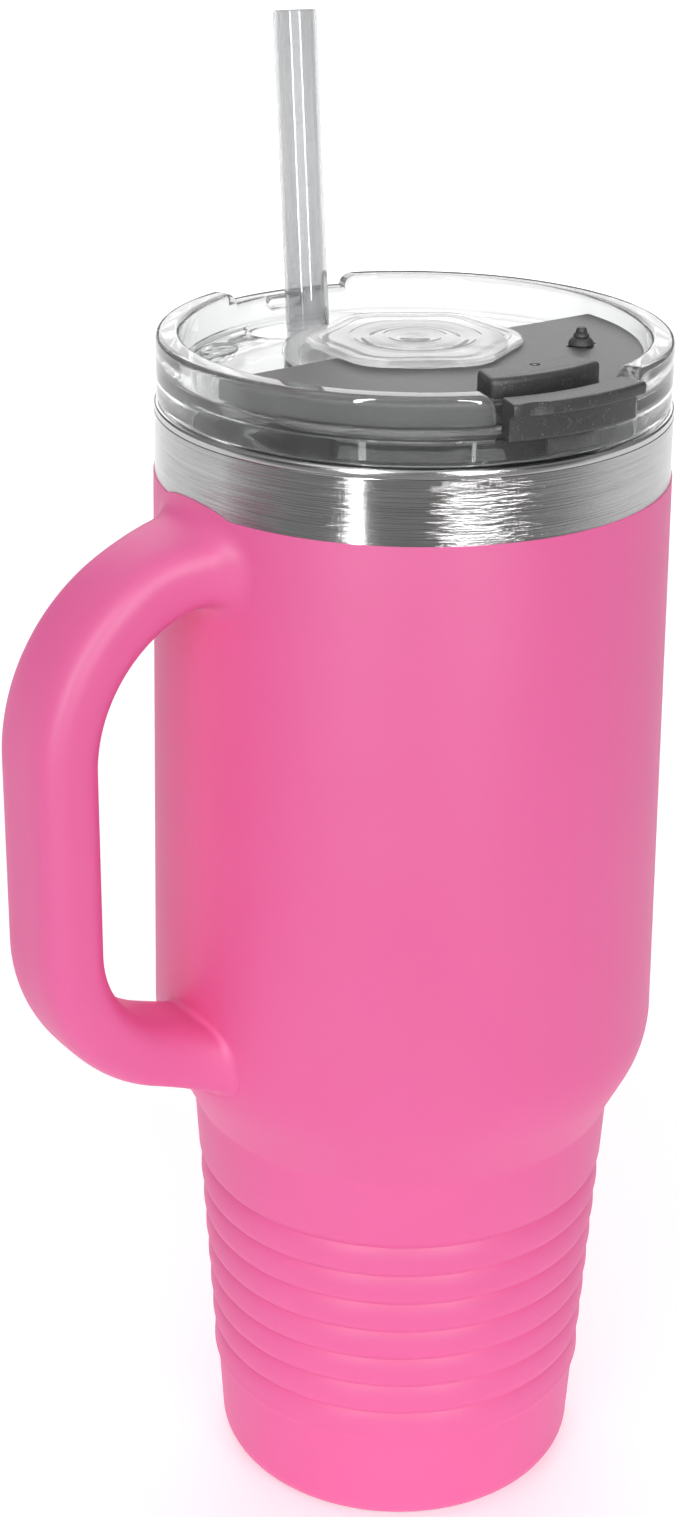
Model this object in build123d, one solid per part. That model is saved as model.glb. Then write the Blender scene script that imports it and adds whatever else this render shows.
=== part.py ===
from build123d import *
import os
from math import radians, degrees, sin, cos, tan, asin, atan, sqrt

# Insulated tumbler with lid.  Millimetres, +Z up, origin at the middle of the rest face.
# The handle points along -X, the thumb tab along -Y and the sip slot with the straw along +Y.

# ---- cup: driving sizes -------------------------------------------------------------------
DRUM_R = 50.0            # coated drum radius at the border of the coat
DRUM_TAPER = 0.014       # the drum grows this much in radius per millimetre downwards
LIP_Z = 236.4            # top of the steel mouth
BAND_H = 13.9            # height of the bare steel band
LIP_INSET = 0.3          # the mouth stands this much inside the coated drum
LIP_W = 3.4              # width of the rolled lip
LIP_H = 1.6
SHOULDER_Z = 108.8       # where the drum starts to round in
SHOULDER_R = 25.5        # radius of that rounding
SHOULDER_DEG = 28.0      # turn of that rounding; a cone runs on from it to the waist
WAIST_Z = 87.2           # lower edge of the cone
WAIST_R = 43.8
CUP_TAPER = 0.061        # the lower cup narrows this much in radius per millimetre downwards
RING_TOP_Z = 71.2        # first crease
RING_PITCH = 7.02
RING_COUNT = 7
RING_DEPTH = 1.25        # crest to crease
RING_CREST = 0.62        # share of the pitch above the crest
BASE_STEP = 0.5          # the plain base stands this much inside the line of the crests
BASE_FILLET = 6.2
FOOT_W = 2.16            # width of the turned-in foot
BEAD_W = 2.4             # width of the bead that the cup stands on
COAT_T = 0.2
SHELL_T = 0.5
LINER_T = 0.45
DRUM_GAP = 2.6           # vacuum gap beside the drum
CUP_GAP = 2.0            # vacuum gap beside the creases
LINER_FLOOR_Z = 9.0      # underside of the liner
LINER_FILLET = 9.0
MOUTH_H = 16.0           # straight length of the mouth, for the skirt of the lid
VAC_T = 0.6              # plate that closes the vacuum space
VAC_RISE = 2.6
PORT_R = 1.5
COVER_T = 0.45
COVER_CLEAR = 0.05

COAT_TOP_Z = LIP_Z - BAND_H
LIP_R = DRUM_R - LIP_INSET
MOUTH_R = LIP_R - LIP_W

# ---- handle --------------------------------------------------------------------------------
GRIP_REACH = 31.2        # from the drum at the coat border to the centre line of the grip
GRIP_TOP_Z = 178.2
GRIP_BOTTOM_Z = 140.8
UPPER_BEND = 34.8
LOWER_BEND = 28.0
LOWER_ARM_DEG = 20.0     # slope of the lower arm
HANDLE_W = 21.0
HANDLE_T = 13.3
HANDLE_WALL = 1.2
HANDLE_EDGE = 4.8        # corner radius of the section
FLARE_W = 27.0           # width of the weld collars on the shell
FLARE_L = 9.0

GRIP_X = DRUM_R + GRIP_REACH

# ---- lid -----------------------------------------------------------------------------------
STRAW_R = 4.35
STRAW_WALL = 0.7
LID_INSET = 0.5          # rim inside the steel lip
RIM_T = 4.8
RIM_H = 7.0              # rim above the deck
LID_SEAT = 0.3           # flange above the steel lip
FLANGE_H = 5.7           # flange, up to the deck
DECK_T = 2.0
PLUG_CLEAR = 0.8         # skirt inside the mouth
PLUG_T = 2.3
PLUG_H = 12.1            # skirt below the flange
GASKET_UP = 5.0          # groove above the end of the skirt
GASKET_H = 3.6
GASKET_GROOVE = 1.2
GASKET_CLEAR = 0.3       # drawn clear of the steel; the real lips press on it
SLOT_WALL = 1.8          # deck left between the sip slot and the rim
STRAW_CLEAR = 2.9        # slot wider than the straw
SLOT_HALF = 20.0         # half angle of the slot
GAP_HALF = 19.0          # half angle of the opening in the rim for the thumb tab
GAP_DROP = 1.4           # floor of that opening, below the deck
LOW_WALL_H = 2.8         # wall left inside the opening
LOW_WALL_T = 1.5
DIP_HALF = 17.0          # lowered part of the rim, at the lips
DIP_DEPTH = 2.3
VENT_W, VENT_H, VENT_D, VENT_UP = 8.6, 2.0, 2.6, 2.8
POCKET_AZ, POCKET_INSET, POCKET_DEPTH = 131.6, 5.8, 0.8

LID_R = LIP_R - LID_INSET
RIM_IN_R = LID_R - RIM_T
FLANGE_Z = LIP_Z + LID_SEAT
DECK_TOP_Z = FLANGE_Z + FLANGE_H
RIM_TOP_Z = DECK_TOP_Z + RIM_H
PLUG_R = MOUTH_R - PLUG_CLEAR
PLUG_IN_R = PLUG_R - PLUG_T
PLUG_BOTTOM_Z = FLANGE_Z - PLUG_H
GASKET_Z = PLUG_BOTTOM_Z + GASKET_UP
SLOT_W = 2 * STRAW_R + STRAW_CLEAR
SLOT_R = RIM_IN_R - SLOT_WALL - SLOT_W / 2
GAP_FLOOR_Z = DECK_TOP_Z - GAP_DROP
LOW_WALL_Z = DECK_TOP_Z + LOW_WALL_H
DIP_Z = RIM_TOP_Z - DIP_DEPTH

# ---- slider --------------------------------------------------------------------------------
SLIDER_H = 4.0           # top of the slider above the deck
SLIDER_CLEAR = 1.0       # slider inside the rim
SLIDER_IN_R = 25.6
SLIDER_LIP_W = 3.0       # lip held under the hub
SLIDER_LIP_H = 1.4
SLIDER_TOP_IN_R = 18.2   # inner edge of the top, which runs in under the hub's cap
SLIDER_TOP_LIP_T = 0.7   # thickness of the top beyond the channel
SLIDER_AZ = -88.0
SLIDER_HALF = 89.5
SLIDER_T = 1.6
SKIRT_T = 1.2
RUN_GAP = 0.35           # clearance of the moving lid pieces
BLOCK_AZ = -90.0
BLOCK_HALF = 17.5
BLOCK_W = 9.2            # radial width of the thumb block
BLOCK_H = 4.0
BARB_AZ, BARB_INSET, BARB_H = -34.0, 12.8, 3.4
PAD_CLEAR = 0.6          # seal pad inside the skirt of the slider
HUB_R = 20.6
HUB_H = 5.6              # top of the hub above the deck
HUB_POST_R = 5.0
HUB_FLANGE_T = 0.85
HUB_EDGE_R = 0.8         # rounding of the top of the cap
POST_CLEAR = 0.1

SLIDER_TOP_Z = DECK_TOP_Z + SLIDER_H
SLIDER_OUT_R = RIM_IN_R - SLIDER_CLEAR
SLIDER_LIP_R = SLIDER_IN_R - SLIDER_LIP_W
HUB_FLANGE_R = SLIDER_IN_R - 0.4
HUB_TOP_Z = DECK_TOP_Z + HUB_H
BLOCK_OUT_R = SLIDER_OUT_R - 1.0
BLOCK_IN_R = BLOCK_OUT_R - BLOCK_W
BLOCK_TOP_Z = SLIDER_TOP_Z + BLOCK_H
BARB_R = RIM_IN_R - BARB_INSET
BARB_TOP_Z = SLIDER_TOP_Z + BARB_H

# ---- thumb tab -----------------------------------------------------------------------------
TAB_SIDE_DEG = 2.4       # clearance at each end of the opening
TAB_GAP = 0.6            # tab outside the low wall
TAB_T = 3.9
TAB_LIP = 2.0            # overhang of its lip
TAB_LIP_H = 2.2
TAB_DROP = 1.0           # top of the tab below the rim
TAB_SEAT = 0.05
TONGUE_W, TONGUE_T, TONGUE_H = 11.0, 1.8, 3.4
TONGUE_CLEAR = 0.1

TAB_HALF = GAP_HALF - TAB_SIDE_DEG
TAB_IN_R = RIM_IN_R + LOW_WALL_T + TAB_GAP
TAB_OUT_R = TAB_IN_R + TAB_T
TAB_LIP_R = TAB_OUT_R + TAB_LIP
TAB_TOP_Z = RIM_TOP_Z - TAB_DROP
TAB_LIP_Z = TAB_TOP_Z - TAB_LIP_H
TAB_BOTTOM_Z = GAP_FLOOR_Z + TAB_SEAT

# ---- straw ---------------------------------------------------------------------------------
STRAW_LEAN = (0.034, 0.135)      # sideways run per millimetre of height
STRAW_OFF = (0.35, 0.2)          # from the middle of the slot, at the underside of the deck
STRAW_FLOOR = 4.3                # end of the straw above the floor of the liner
STRAW_OUT = 60.3                 # straw above the deck

STRAW_AT = (STRAW_OFF[0], SLOT_R + STRAW_OFF[1], DECK_TOP_Z - DECK_T)
STRAW_BOTTOM_Z = LINER_FLOOR_Z + LINER_T + STRAW_FLOOR
STRAW_TOP_Z = DECK_TOP_Z + STRAW_OUT


# ---- shared helpers ------------------------------------------------------------------------
def drum_r(z):
    return DRUM_R + DRUM_TAPER * (COAT_TOP_Z - z)


def cup_r(z):
    """Line of the crests of the lower cup."""
    return WAIST_R - CUP_TAPER * (WAIST_Z - z)


def base_line_r(z):
    return cup_r(z) - BASE_STEP


def foot_in_r():
    """Inner edge of the turned-in foot, which the cover is pressed into."""
    return base_line_r(BASE_FILLET) - BASE_FILLET - FOOT_W


def spin(face):
    """Turn a profile drawn as (radius, height) about the axis."""
    return revolve(Plane.XZ * face, Axis.Z, 360)


def ring(r_in, r_out, z0, z1):
    """Plain ring between two radii and two heights."""
    body = Pos(0, 0, z0) * Cylinder(r_out, z1 - z0, align=(Align.CENTER, Align.CENTER, Align.MIN))
    if r_in <= 0:
        return body
    return body - Pos(0, 0, z0 - 1) * Cylinder(
        r_in, z1 - z0 + 2, align=(Align.CENTER, Align.CENTER, Align.MIN))


def sector(az, half, r, z0, z1):
    """Pie wedge about the axis, used to cut or keep an arc."""
    steps = max(2, int(half // 30) + 2)
    pts = [(0, 0)]
    far = r / cos(radians(half / steps)) + 1
    for i in range(2 * steps + 1):
        a = radians(az - half + i * half / steps)
        pts.append((far * cos(a), far * sin(a)))
    pts.append((0, 0))
    return Pos(0, 0, z0) * extrude(make_face(Polyline(pts)), z1 - z0)


def arc_block(az, half, r_in, r_out, z0, z1):
    return ring(r_in, r_out, z0, z1) & sector(az, half, r_out, z0 - 1, z1 + 1)


def arc_slot(az, half, r_mid, width, z0, z1):
    """Curved slot with round ends, centred on az."""
    e = degrees(asin(width / 2 / r_mid))
    body = arc_block(az, half - e, r_mid - width / 2, r_mid + width / 2, z0, z1)
    for s in (-1, 1):
        a = radians(az + s * (half - e))
        body += Pos(r_mid * cos(a), r_mid * sin(a), z0) * Cylinder(
            width / 2, z1 - z0, align=(Align.CENTER, Align.CENTER, Align.MIN))
    return body


def polar(az, r, z=0.0):
    return (r * cos(radians(az)), r * sin(radians(az)), z)


# ---- cup -----------------------------------------------------------------------------------
def cup_outline(inset):
    """Edges of the outside of the cup from the foot up to the coat border, moved in by inset."""
    rf = BASE_FILLET - inset
    rb = base_line_r(BASE_FILLET)
    edges = [Line((foot_in_r(), inset), (rb - BASE_FILLET, inset)),
             CenterArc((rb - BASE_FILLET, BASE_FILLET), rf, -90, 90)]
    last_z = RING_TOP_Z - RING_COUNT * RING_PITCH
    p = (rb - inset, BASE_FILLET)
    q = (base_line_r(last_z) - inset, last_z)
    edges.append(Line(p, q))
    for i in range(RING_COUNT, 0, -1):
        z_low = RING_TOP_Z - i * RING_PITCH
        z_crest = z_low + (1 - RING_CREST) * RING_PITCH
        z_high = z_low + RING_PITCH
        low_r = q[0] if i == RING_COUNT else cup_r(z_low) - RING_DEPTH - inset
        crest = (cup_r(z_crest) - inset, z_crest)
        high = (cup_r(z_high) - RING_DEPTH - inset, z_high)
        rise = 0.55 * (z_crest - z_low)
        edges.append(Spline((low_r, z_low), crest, tangents=[(1.0, 0.9), (0, 1)],
                            tangent_scalars=[rise, rise]))
        edges.append(Spline(crest, high, tangents=[(0, 1), (-1.0, 1.6)],
                            tangent_scalars=[rise, rise]))
    top = (WAIST_R - inset, WAIST_Z)
    edges.append(Spline(high, (cup_r(RING_TOP_Z + 2.2) - inset, RING_TOP_Z + 2.2),
                        tangents=[(1.0, 0.9), (CUP_TAPER, 1)], tangent_scalars=[1.6, 1.2]))
    edges.append(Line((cup_r(RING_TOP_Z + 2.2) - inset, RING_TOP_Z + 2.2), top))
    a = radians(SHOULDER_DEG)
    R = SHOULDER_R
    cx = drum_r(SHOULDER_Z) - R
    start = (cx + (R - inset) * cos(a), SHOULDER_Z - (R - inset) * sin(a))
    edges.append(Line(top, start))
    edges.append(CenterArc((cx, SHOULDER_Z), R - inset, -SHOULDER_DEG, SHOULDER_DEG))
    edges.append(Line((drum_r(SHOULDER_Z) - inset, SHOULDER_Z), (DRUM_R - inset, COAT_TOP_Z)))
    return edges


def powder_coat():
    """Colour coat over the shell, from just above the foot to the bare band."""
    outer, inner = cup_outline(0), cup_outline(COAT_T)
    o0, i0 = outer[0] @ 0, inner[0] @ 0
    top_o, top_i = outer[-1] @ 1, inner[-1] @ 1
    face = make_face(outer + inner + [Line(o0, i0), Line(top_o, top_i)])
    skin = spin(face)
    return skin - ring(0, 80, -1, COAT_T + 0.6)


def outer_shell():
    """Drawn steel shell with rolled rings; the turned-in foot stands on a narrow bead."""
    outer = cup_outline(COAT_T)
    inner = cup_outline(COAT_T + SHELL_T)
    neck_o = Line(outer[-1] @ 1, (LIP_R, LIP_Z - LIP_H))
    neck_i = Line(inner[-1] @ 1, (LIP_R - SHELL_T, LIP_Z - LIP_H))
    face = make_face(outer + inner + [Line(outer[0] @ 0, inner[0] @ 0), neck_o, neck_i,
                                      Line(neck_o @ 1, neck_i @ 1)])
    r = foot_in_r()
    bead = Polyline([(r, COAT_T + 0.1), (r, 0), (r + BEAD_W, 0), (r + BEAD_W + 0.3, COAT_T + 0.1),
                     (r, COAT_T + 0.1)])
    return spin(face) + spin(make_face(bead))


def shell_in_r(z):
    """Inside radius of the shell beside the creases or the drum."""
    r = drum_r(z) if z > SHOULDER_Z else cup_r(z) - RING_DEPTH
    return r - COAT_T - SHELL_T


def liner_edges(t):
    """Inside line of the liner moved out by t, from the axis up to the mouth."""
    low_r = shell_in_r(RING_TOP_Z - RING_COUNT * RING_PITCH) - CUP_GAP - LINER_T
    mid_r = shell_in_r(RING_TOP_Z) - CUP_GAP - LINER_T
    drum_low = shell_in_r(SHOULDER_Z + 12) - DRUM_GAP - LINER_T
    f = LINER_FILLET
    z0 = LINER_FLOOR_Z + LINER_T
    low_z = z0 + f
    pts = [(0, z0 - t), (low_r - f, z0 - t)]
    edges = [Line(*pts), CenterArc((low_r - f, low_z), f + t, -90, 90),
             Line((low_r + t, low_z), (mid_r + t, RING_TOP_Z + 6)),
             Spline((mid_r + t, RING_TOP_Z + 6), (drum_low + t, SHOULDER_Z + 12),
                    tangents=[(0.03, 1), (0, 1)]),
             Line((drum_low + t, SHOULDER_Z + 12), (MOUTH_R + t, LIP_Z - MOUTH_H - 1.5)),
             Line((MOUTH_R + t, LIP_Z - MOUTH_H - 1.5), (MOUTH_R + t, LIP_Z - LIP_H))]
    return edges


def inner_liner():
    """Drawn steel cup that holds the drink; its mouth is turned out over the shell."""
    inn, out = liner_edges(0), liner_edges(LINER_T)
    r = 0.75
    lip = [Line(inn[-1] @ 1, (MOUTH_R, LIP_Z - r)),
           CenterArc((MOUTH_R + r, LIP_Z - r), r, 90, 90),
           Line((MOUTH_R + r, LIP_Z), (LIP_R - r, LIP_Z)),
           CenterArc((LIP_R - r, LIP_Z - r), r, 0, 90),
           Line((LIP_R, LIP_Z - r), (LIP_R, LIP_Z - LIP_H)),
           Line((LIP_R, LIP_Z - LIP_H), out[-1] @ 1)]
    return spin(make_face(inn + out + [Line(inn[0] @ 0, out[0] @ 0)] + lip))


VAC_Z = COAT_T + SHELL_T + 0.02   # the vacuum base lies on the turned-in foot


def vacuum_base():
    """Dished plate that closes the vacuum space, with the pumping hole in its middle."""
    z, t, h = VAC_Z, VAC_T, VAC_RISE
    r = base_line_r(BASE_FILLET) - BASE_FILLET - 0.1
    step = foot_in_r() - 3.0
    pts = [(r, z), (r, z + t), (step + 0.2, z + t), (step - 1.8, z + h + t), (PORT_R, z + h + t),
           (PORT_R, z + h), (step - 2.2, z + h), (step - 0.2, z), (r, z)]
    return spin(make_face(Polyline(pts)))


def vacuum_seal():
    """Bead of glass solder melted into the pumping hole."""
    z = VAC_Z + VAC_RISE
    return ring(0, PORT_R, z - 0.01, z + VAC_T) + ring(0, PORT_R + 1.3, z - 0.7, z)


def getter():
    """Tablet that takes up the last gas in the vacuum space."""
    return Pos(14, 0, VAC_Z + VAC_RISE + VAC_T) * Cylinder(
        4.0, 1.4, align=(Align.CENTER, Align.CENTER, Align.MIN))


def getter_clip():
    """Strap spot-welded over the tablet."""
    z = VAC_Z + VAC_RISE + VAC_T
    strap = Pos(14, 0, z) * Box(3.0, 14.0, 1.9, align=(Align.CENTER, Align.CENTER, Align.MIN))
    strap -= Pos(14, 0, z - 1) * Box(4.0, 8.8, 2.4, align=(Align.CENTER, Align.CENTER, Align.MIN))
    for s in (-1, 1):
        strap -= Pos(14, s * 7.0, z + 0.4) * Box(
            4.0, 4.0, 3.0, align=(Align.CENTER, Align.CENTER, Align.MIN))
    return strap


def base_cover():
    """Thin steel cover pressed into the foot, raised in the middle."""
    z, r, t, step = COAT_T + 0.05, foot_in_r() - COVER_CLEAR, COVER_T, foot_in_r() - 6.0
    pts = [(0, z + 1.0), (0, z + 1.0 + t), (step - 2.0, z + 1.0 + t), (step, z + t), (r, z + t),
           (r, z), (step - 0.3, z), (step - 2.3, z + 1.0), (0, z + 1.0)]
    return spin(make_face(Polyline(pts)))


# ---- handle --------------------------------------------------------------------------------
def handle_path():
    """Centre line in the XZ plane, from inside the shell at the top to inside it below."""
    xg, zt, zb = -GRIP_X, GRIP_TOP_Z, GRIP_BOTTOM_Z
    root = DRUM_R - 6
    c1 = (xg + UPPER_BEND, zt)
    a1 = degrees(asin((root - (GRIP_X - UPPER_BEND)) / UPPER_BEND))
    up = CenterArc(c1, UPPER_BEND, 90 + a1, 90 - a1)
    grip = Line((xg, zt), (xg, zb))
    sweep_deg = 90 - LOWER_ARM_DEG
    low = CenterArc((xg + LOWER_BEND, zb), LOWER_BEND, 180, sweep_deg)
    p = low @ 1
    run = -p.X - root
    arm = Line((p.X, p.Y), (-root, p.Y - run * tan(radians(LOWER_ARM_DEG))))
    return [up, grip, low, arm]


def handle_wire():
    return Wire([Plane.XZ.from_local_coords(e) for e in handle_path()])


def sweep_section(shape):
    wire = handle_wire()
    return sweep(Plane(origin=wire @ 0, z_dir=wire % 0, x_dir=(0, 1, 0)) * shape, path=wire)


def handle_bar(shrink):
    """Swept rounded bar with its skin moved in by shrink."""
    w, t = HANDLE_W - 2 * shrink, HANDLE_T - 2 * shrink
    return sweep_section(RectangleRounded(w, t, HANDLE_EDGE - shrink))


def drum_body(extra=0.0):
    """Solid of the coated drum, used to trim what is welded to it."""
    z0, z1 = 60, COAT_TOP_Z + 6
    pts = [(0, z0), (WAIST_R + extra, z0), (WAIST_R + extra, WAIST_Z)]
    a = radians(SHOULDER_DEG)
    cx = drum_r(SHOULDER_Z) - SHOULDER_R
    R = SHOULDER_R + extra
    edges = [Line(pts[0], pts[1]), Line(pts[1], pts[2]),
             Line(pts[2], (cx + R * cos(a), SHOULDER_Z - R * sin(a))),
             CenterArc((cx, SHOULDER_Z), R, -SHOULDER_DEG, SHOULDER_DEG),
             Line((cx + R, SHOULDER_Z), (drum_r(z1) + extra, z1)),
             Line((drum_r(z1) + extra, z1), (0, z1)), Line((0, z1), (0, z0))]
    return spin(make_face(edges))


def handle_halves():
    """Two pressed half shells, split along the middle of the section."""
    bar = handle_bar(0) - handle_bar(HANDLE_WALL) - drum_body()
    seam = sweep_section(Pos(0, -10) * Rectangle(40, 20))
    return bar & seam, bar - seam


def root_weld(at_top):
    """Filled weld that flares the end of the handle into the shell."""
    path = handle_path()
    curve, inside = (path[0], True) if at_top else (path[3], False)
    length = curve.length
    sections = []
    for share, grow in ((0.0, 1.0), (0.35, 0.55), (0.7, 0.16), (1.0, 0.0)):
        reach = 6.0 + share * FLARE_L
        t = reach / length if inside else 1 - reach / length
        p, d = curve @ t, curve % t
        if not inside:
            d = d * -1
        origin, z_dir = Vector(p.X, 0, p.Y), Vector(d.X, 0, d.Y)
        w = HANDLE_W + grow * (FLARE_W - HANDLE_W) + 0.02
        h = HANDLE_T + grow * (FLARE_W - HANDLE_W) * 0.7 + 0.02
        edge = HANDLE_EDGE + grow * 1.5
        sections.append(Plane(origin=origin, z_dir=z_dir, x_dir=(0, 1, 0)) * RectangleRounded(w, h, edge))
    flare = loft(sections)
    return flare - handle_bar(0) - drum_body()


# ---- lid -----------------------------------------------------------------------------------
def lid_body():
    """Clear moulded lid: rim, flange, deck and the skirt that goes into the mouth."""
    top_o, top_i = 1.3, 1.1
    edges = [Line((PLUG_IN_R, PLUG_BOTTOM_Z), (PLUG_R - 0.8, PLUG_BOTTOM_Z)),
             Line((PLUG_R - 0.8, PLUG_BOTTOM_Z), (PLUG_R, PLUG_BOTTOM_Z + 1.2)),
             Line((PLUG_R, PLUG_BOTTOM_Z + 1.2), (PLUG_R, FLANGE_Z)),
             Line((PLUG_R, FLANGE_Z), (LID_R - 0.6, FLANGE_Z)),
             CenterArc((LID_R - 0.6, FLANGE_Z + 0.6), 0.6, -90, 90),
             Line((LID_R, FLANGE_Z + 0.6), (LID_R, RIM_TOP_Z - top_o)),
             CenterArc((LID_R - top_o, RIM_TOP_Z - top_o), top_o, 0, 90),
             Line((LID_R - top_o, RIM_TOP_Z), (RIM_IN_R + top_i, RIM_TOP_Z)),
             CenterArc((RIM_IN_R + top_i, RIM_TOP_Z - top_i), top_i, 90, 90),
             Line((RIM_IN_R, RIM_TOP_Z - top_i), (RIM_IN_R, DECK_TOP_Z)),
             Line((RIM_IN_R, DECK_TOP_Z), (0, DECK_TOP_Z)),
             Line((0, DECK_TOP_Z), (0, DECK_TOP_Z - DECK_T)),
             Line((0, DECK_TOP_Z - DECK_T), (PLUG_IN_R, DECK_TOP_Z - DECK_T)),
             Line((PLUG_IN_R, DECK_TOP_Z - DECK_T), (PLUG_IN_R, PLUG_BOTTOM_Z))]
    body = spin(make_face(edges))
    body -= ring(PLUG_R - GASKET_GROOVE, PLUG_R + 1, GASKET_Z, GASKET_Z + GASKET_H)
    body -= rim_gap()
    body -= rim_dip()
    body -= arc_slot(90, SLOT_HALF, SLOT_R, SLOT_W, DECK_TOP_Z - DECK_T - 1, DECK_TOP_Z + 1)
    body -= vent_slot()
    body -= thumb_pocket()
    body -= ring(0, HUB_POST_R + POST_CLEAR, DECK_TOP_Z - DECK_T - 1, DECK_TOP_Z + 1)
    body -= tongue(TONGUE_CLEAR)
    return body


def rim_gap():
    """Opening in the rim: full depth outside, down to the low wall inside."""
    cut = arc_block(-90, GAP_HALF, RIM_IN_R + LOW_WALL_T, LID_R + 2, GAP_FLOOR_Z, RIM_TOP_Z + 1)
    cut += arc_block(-90, GAP_HALF, RIM_IN_R - 1.0, LID_R + 2, LOW_WALL_Z, RIM_TOP_Z + 1)
    cut -= arc_block(-90, GAP_HALF, RIM_IN_R - 2.0, RIM_IN_R - 0.9, LOW_WALL_Z - 1, RIM_TOP_Z + 2)
    return cut


def rim_dip():
    """Lowered length of rim where the lips go."""
    return arc_block(90, DIP_HALF, RIM_IN_R - 0.9, LID_R + 2, DIP_Z, RIM_TOP_Z + 1)


def vent_slot():
    """Oblong pocket in the inner wall of the lowered rim."""
    flat = SlotOverall(VENT_W, VENT_H)
    wall = Plane(origin=(0, RIM_IN_R - 1, DECK_TOP_Z + VENT_UP), z_dir=(0, 1, 0), x_dir=(1, 0, 0))
    return extrude(wall * flat, VENT_D + 1)


def thumb_pocket():
    """Shallow oval dish in the deck beside the sip slot."""
    x, y, z = polar(POCKET_AZ, RIM_IN_R - POCKET_INSET, DECK_TOP_Z)
    oval = extrude(Ellipse(5.6, 3.4), 2 * POCKET_DEPTH)
    return Pos(x, y, z - POCKET_DEPTH) * Rot(0, 0, POCKET_AZ + 90) * oval


def tongue(grow):
    """Key under the thumb tab; grown by the clearance it is the pocket in the flange."""
    r = TAB_IN_R + 1.2
    body = Pos(0, -r, TAB_BOTTOM_Z - TONGUE_H - grow) * Box(
        TONGUE_W + 2 * grow, TONGUE_T + 2 * grow, TONGUE_H + 2 * grow + 0.2,
        align=(Align.CENTER, Align.CENTER, Align.MIN))
    return body


def lid_gasket():
    """Silicone ring with three lips, in the groove of the skirt."""
    r0 = PLUG_R - GASKET_GROOVE
    r1 = MOUTH_R - GASKET_CLEAR
    body = ring(r0, PLUG_R - 0.1, GASKET_Z + 0.05, GASKET_Z + GASKET_H - 0.05)
    for i in range(3):
        z = GASKET_Z + 0.5 + i * 1.1
        pts = [(PLUG_R - 0.4, z - 0.35), (r1, z + 0.1), (r1, z + 0.35), (PLUG_R - 0.4, z + 0.4),
               (PLUG_R - 0.4, z - 0.35)]
        body += spin(make_face(Polyline(pts)))
    return body


def hub_cap():
    """Clear centre: six-sided cap over the slider's top, neck, flange over its lip, and post."""
    z_run = DECK_TOP_Z + SLIDER_LIP_H + 2 * RUN_GAP
    body = ring(0, SLIDER_LIP_R - RUN_GAP, DECK_TOP_Z, z_run + 0.1)
    body += ring(0, HUB_FLANGE_R, z_run, z_run + HUB_FLANGE_T)
    z_cap = SLIDER_TOP_Z + RUN_GAP
    body += ring(0, SLIDER_TOP_IN_R - 0.4, z_run, z_cap + 0.1)
    six = fillet(RegularPolygon(HUB_R * 1.07, 6, rotation=30).vertices(), 9.0)
    top = Pos(0, 0, z_cap) * extrude(six, HUB_TOP_Z - z_cap)
    body += fillet(top.edges().group_by(Axis.Z)[-1], HUB_EDGE_R)
    body += ring(0, HUB_POST_R, DECK_TOP_Z - DECK_T - 1.6, DECK_TOP_Z + 0.1)
    snap = [(HUB_POST_R - 0.5, DECK_TOP_Z - DECK_T - 0.15), (HUB_POST_R + 0.9, DECK_TOP_Z - DECK_T - 0.15),
            (HUB_POST_R - 0.2, DECK_TOP_Z - DECK_T - 1.6), (HUB_POST_R - 0.5, DECK_TOP_Z - DECK_T - 1.6),
            (HUB_POST_R - 0.5, DECK_TOP_Z - DECK_T - 0.15)]
    return body + spin(make_face(Polyline(snap)))


def slider():
    """Dark half-ring cover with its skirt, the lip under the hub and the thumb block."""
    az, half, zt = SLIDER_AZ, SLIDER_HALF, SLIDER_TOP_Z
    z_low = DECK_TOP_Z + RUN_GAP
    body = arc_block(az, half, SLIDER_IN_R, SLIDER_OUT_R, zt - SLIDER_T, zt)
    body += arc_block(az, half, SLIDER_TOP_IN_R, SLIDER_IN_R + 0.2, zt - SLIDER_TOP_LIP_T, zt)
    body += arc_block(az, half, SLIDER_OUT_R - SKIRT_T, SLIDER_OUT_R, z_low, zt - 0.1)
    body += arc_block(az, half, SLIDER_IN_R, SLIDER_IN_R + SKIRT_T, z_low, zt - 0.1)
    body += arc_block(az, half, SLIDER_LIP_R, SLIDER_IN_R + 0.2, z_low, z_low + SLIDER_LIP_H)
    for s in (-1, 1):
        wall = arc_block(az + s * (half - 1.2), 1.2, SLIDER_IN_R, SLIDER_OUT_R, z_low, zt - 0.1)
        body += wall
    body += thumb_block()
    return body - barb_hole()


def thumb_block():
    """Raised grip on the slider, with a hollowed inner side."""
    h = BLOCK_HALF
    outer = arc_block(BLOCK_AZ, h, BLOCK_IN_R, BLOCK_OUT_R, SLIDER_TOP_Z - 0.1, BLOCK_TOP_Z)
    hollow_r = 22.4
    outer -= Pos(*polar(BLOCK_AZ, BLOCK_IN_R + 1.2 - hollow_r, SLIDER_TOP_Z)) * Cylinder(
        hollow_r, 2 * BLOCK_H + 1)
    return fillet(outer.edges().group_by(Axis.Z)[-1], 0.7)


def barb_hole():
    """Cross-shaped hole that the tail of the seal is pulled through."""
    x, y, z = polar(BARB_AZ, BARB_R, SLIDER_TOP_Z - SLIDER_T - 1)
    cut = Cylinder(1.45, 8) + Box(6.4, 1.1, 8) + Box(1.1, 6.4, 8)
    return Pos(x, y, z) * Rot(0, 0, BARB_AZ + 30) * cut


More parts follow.
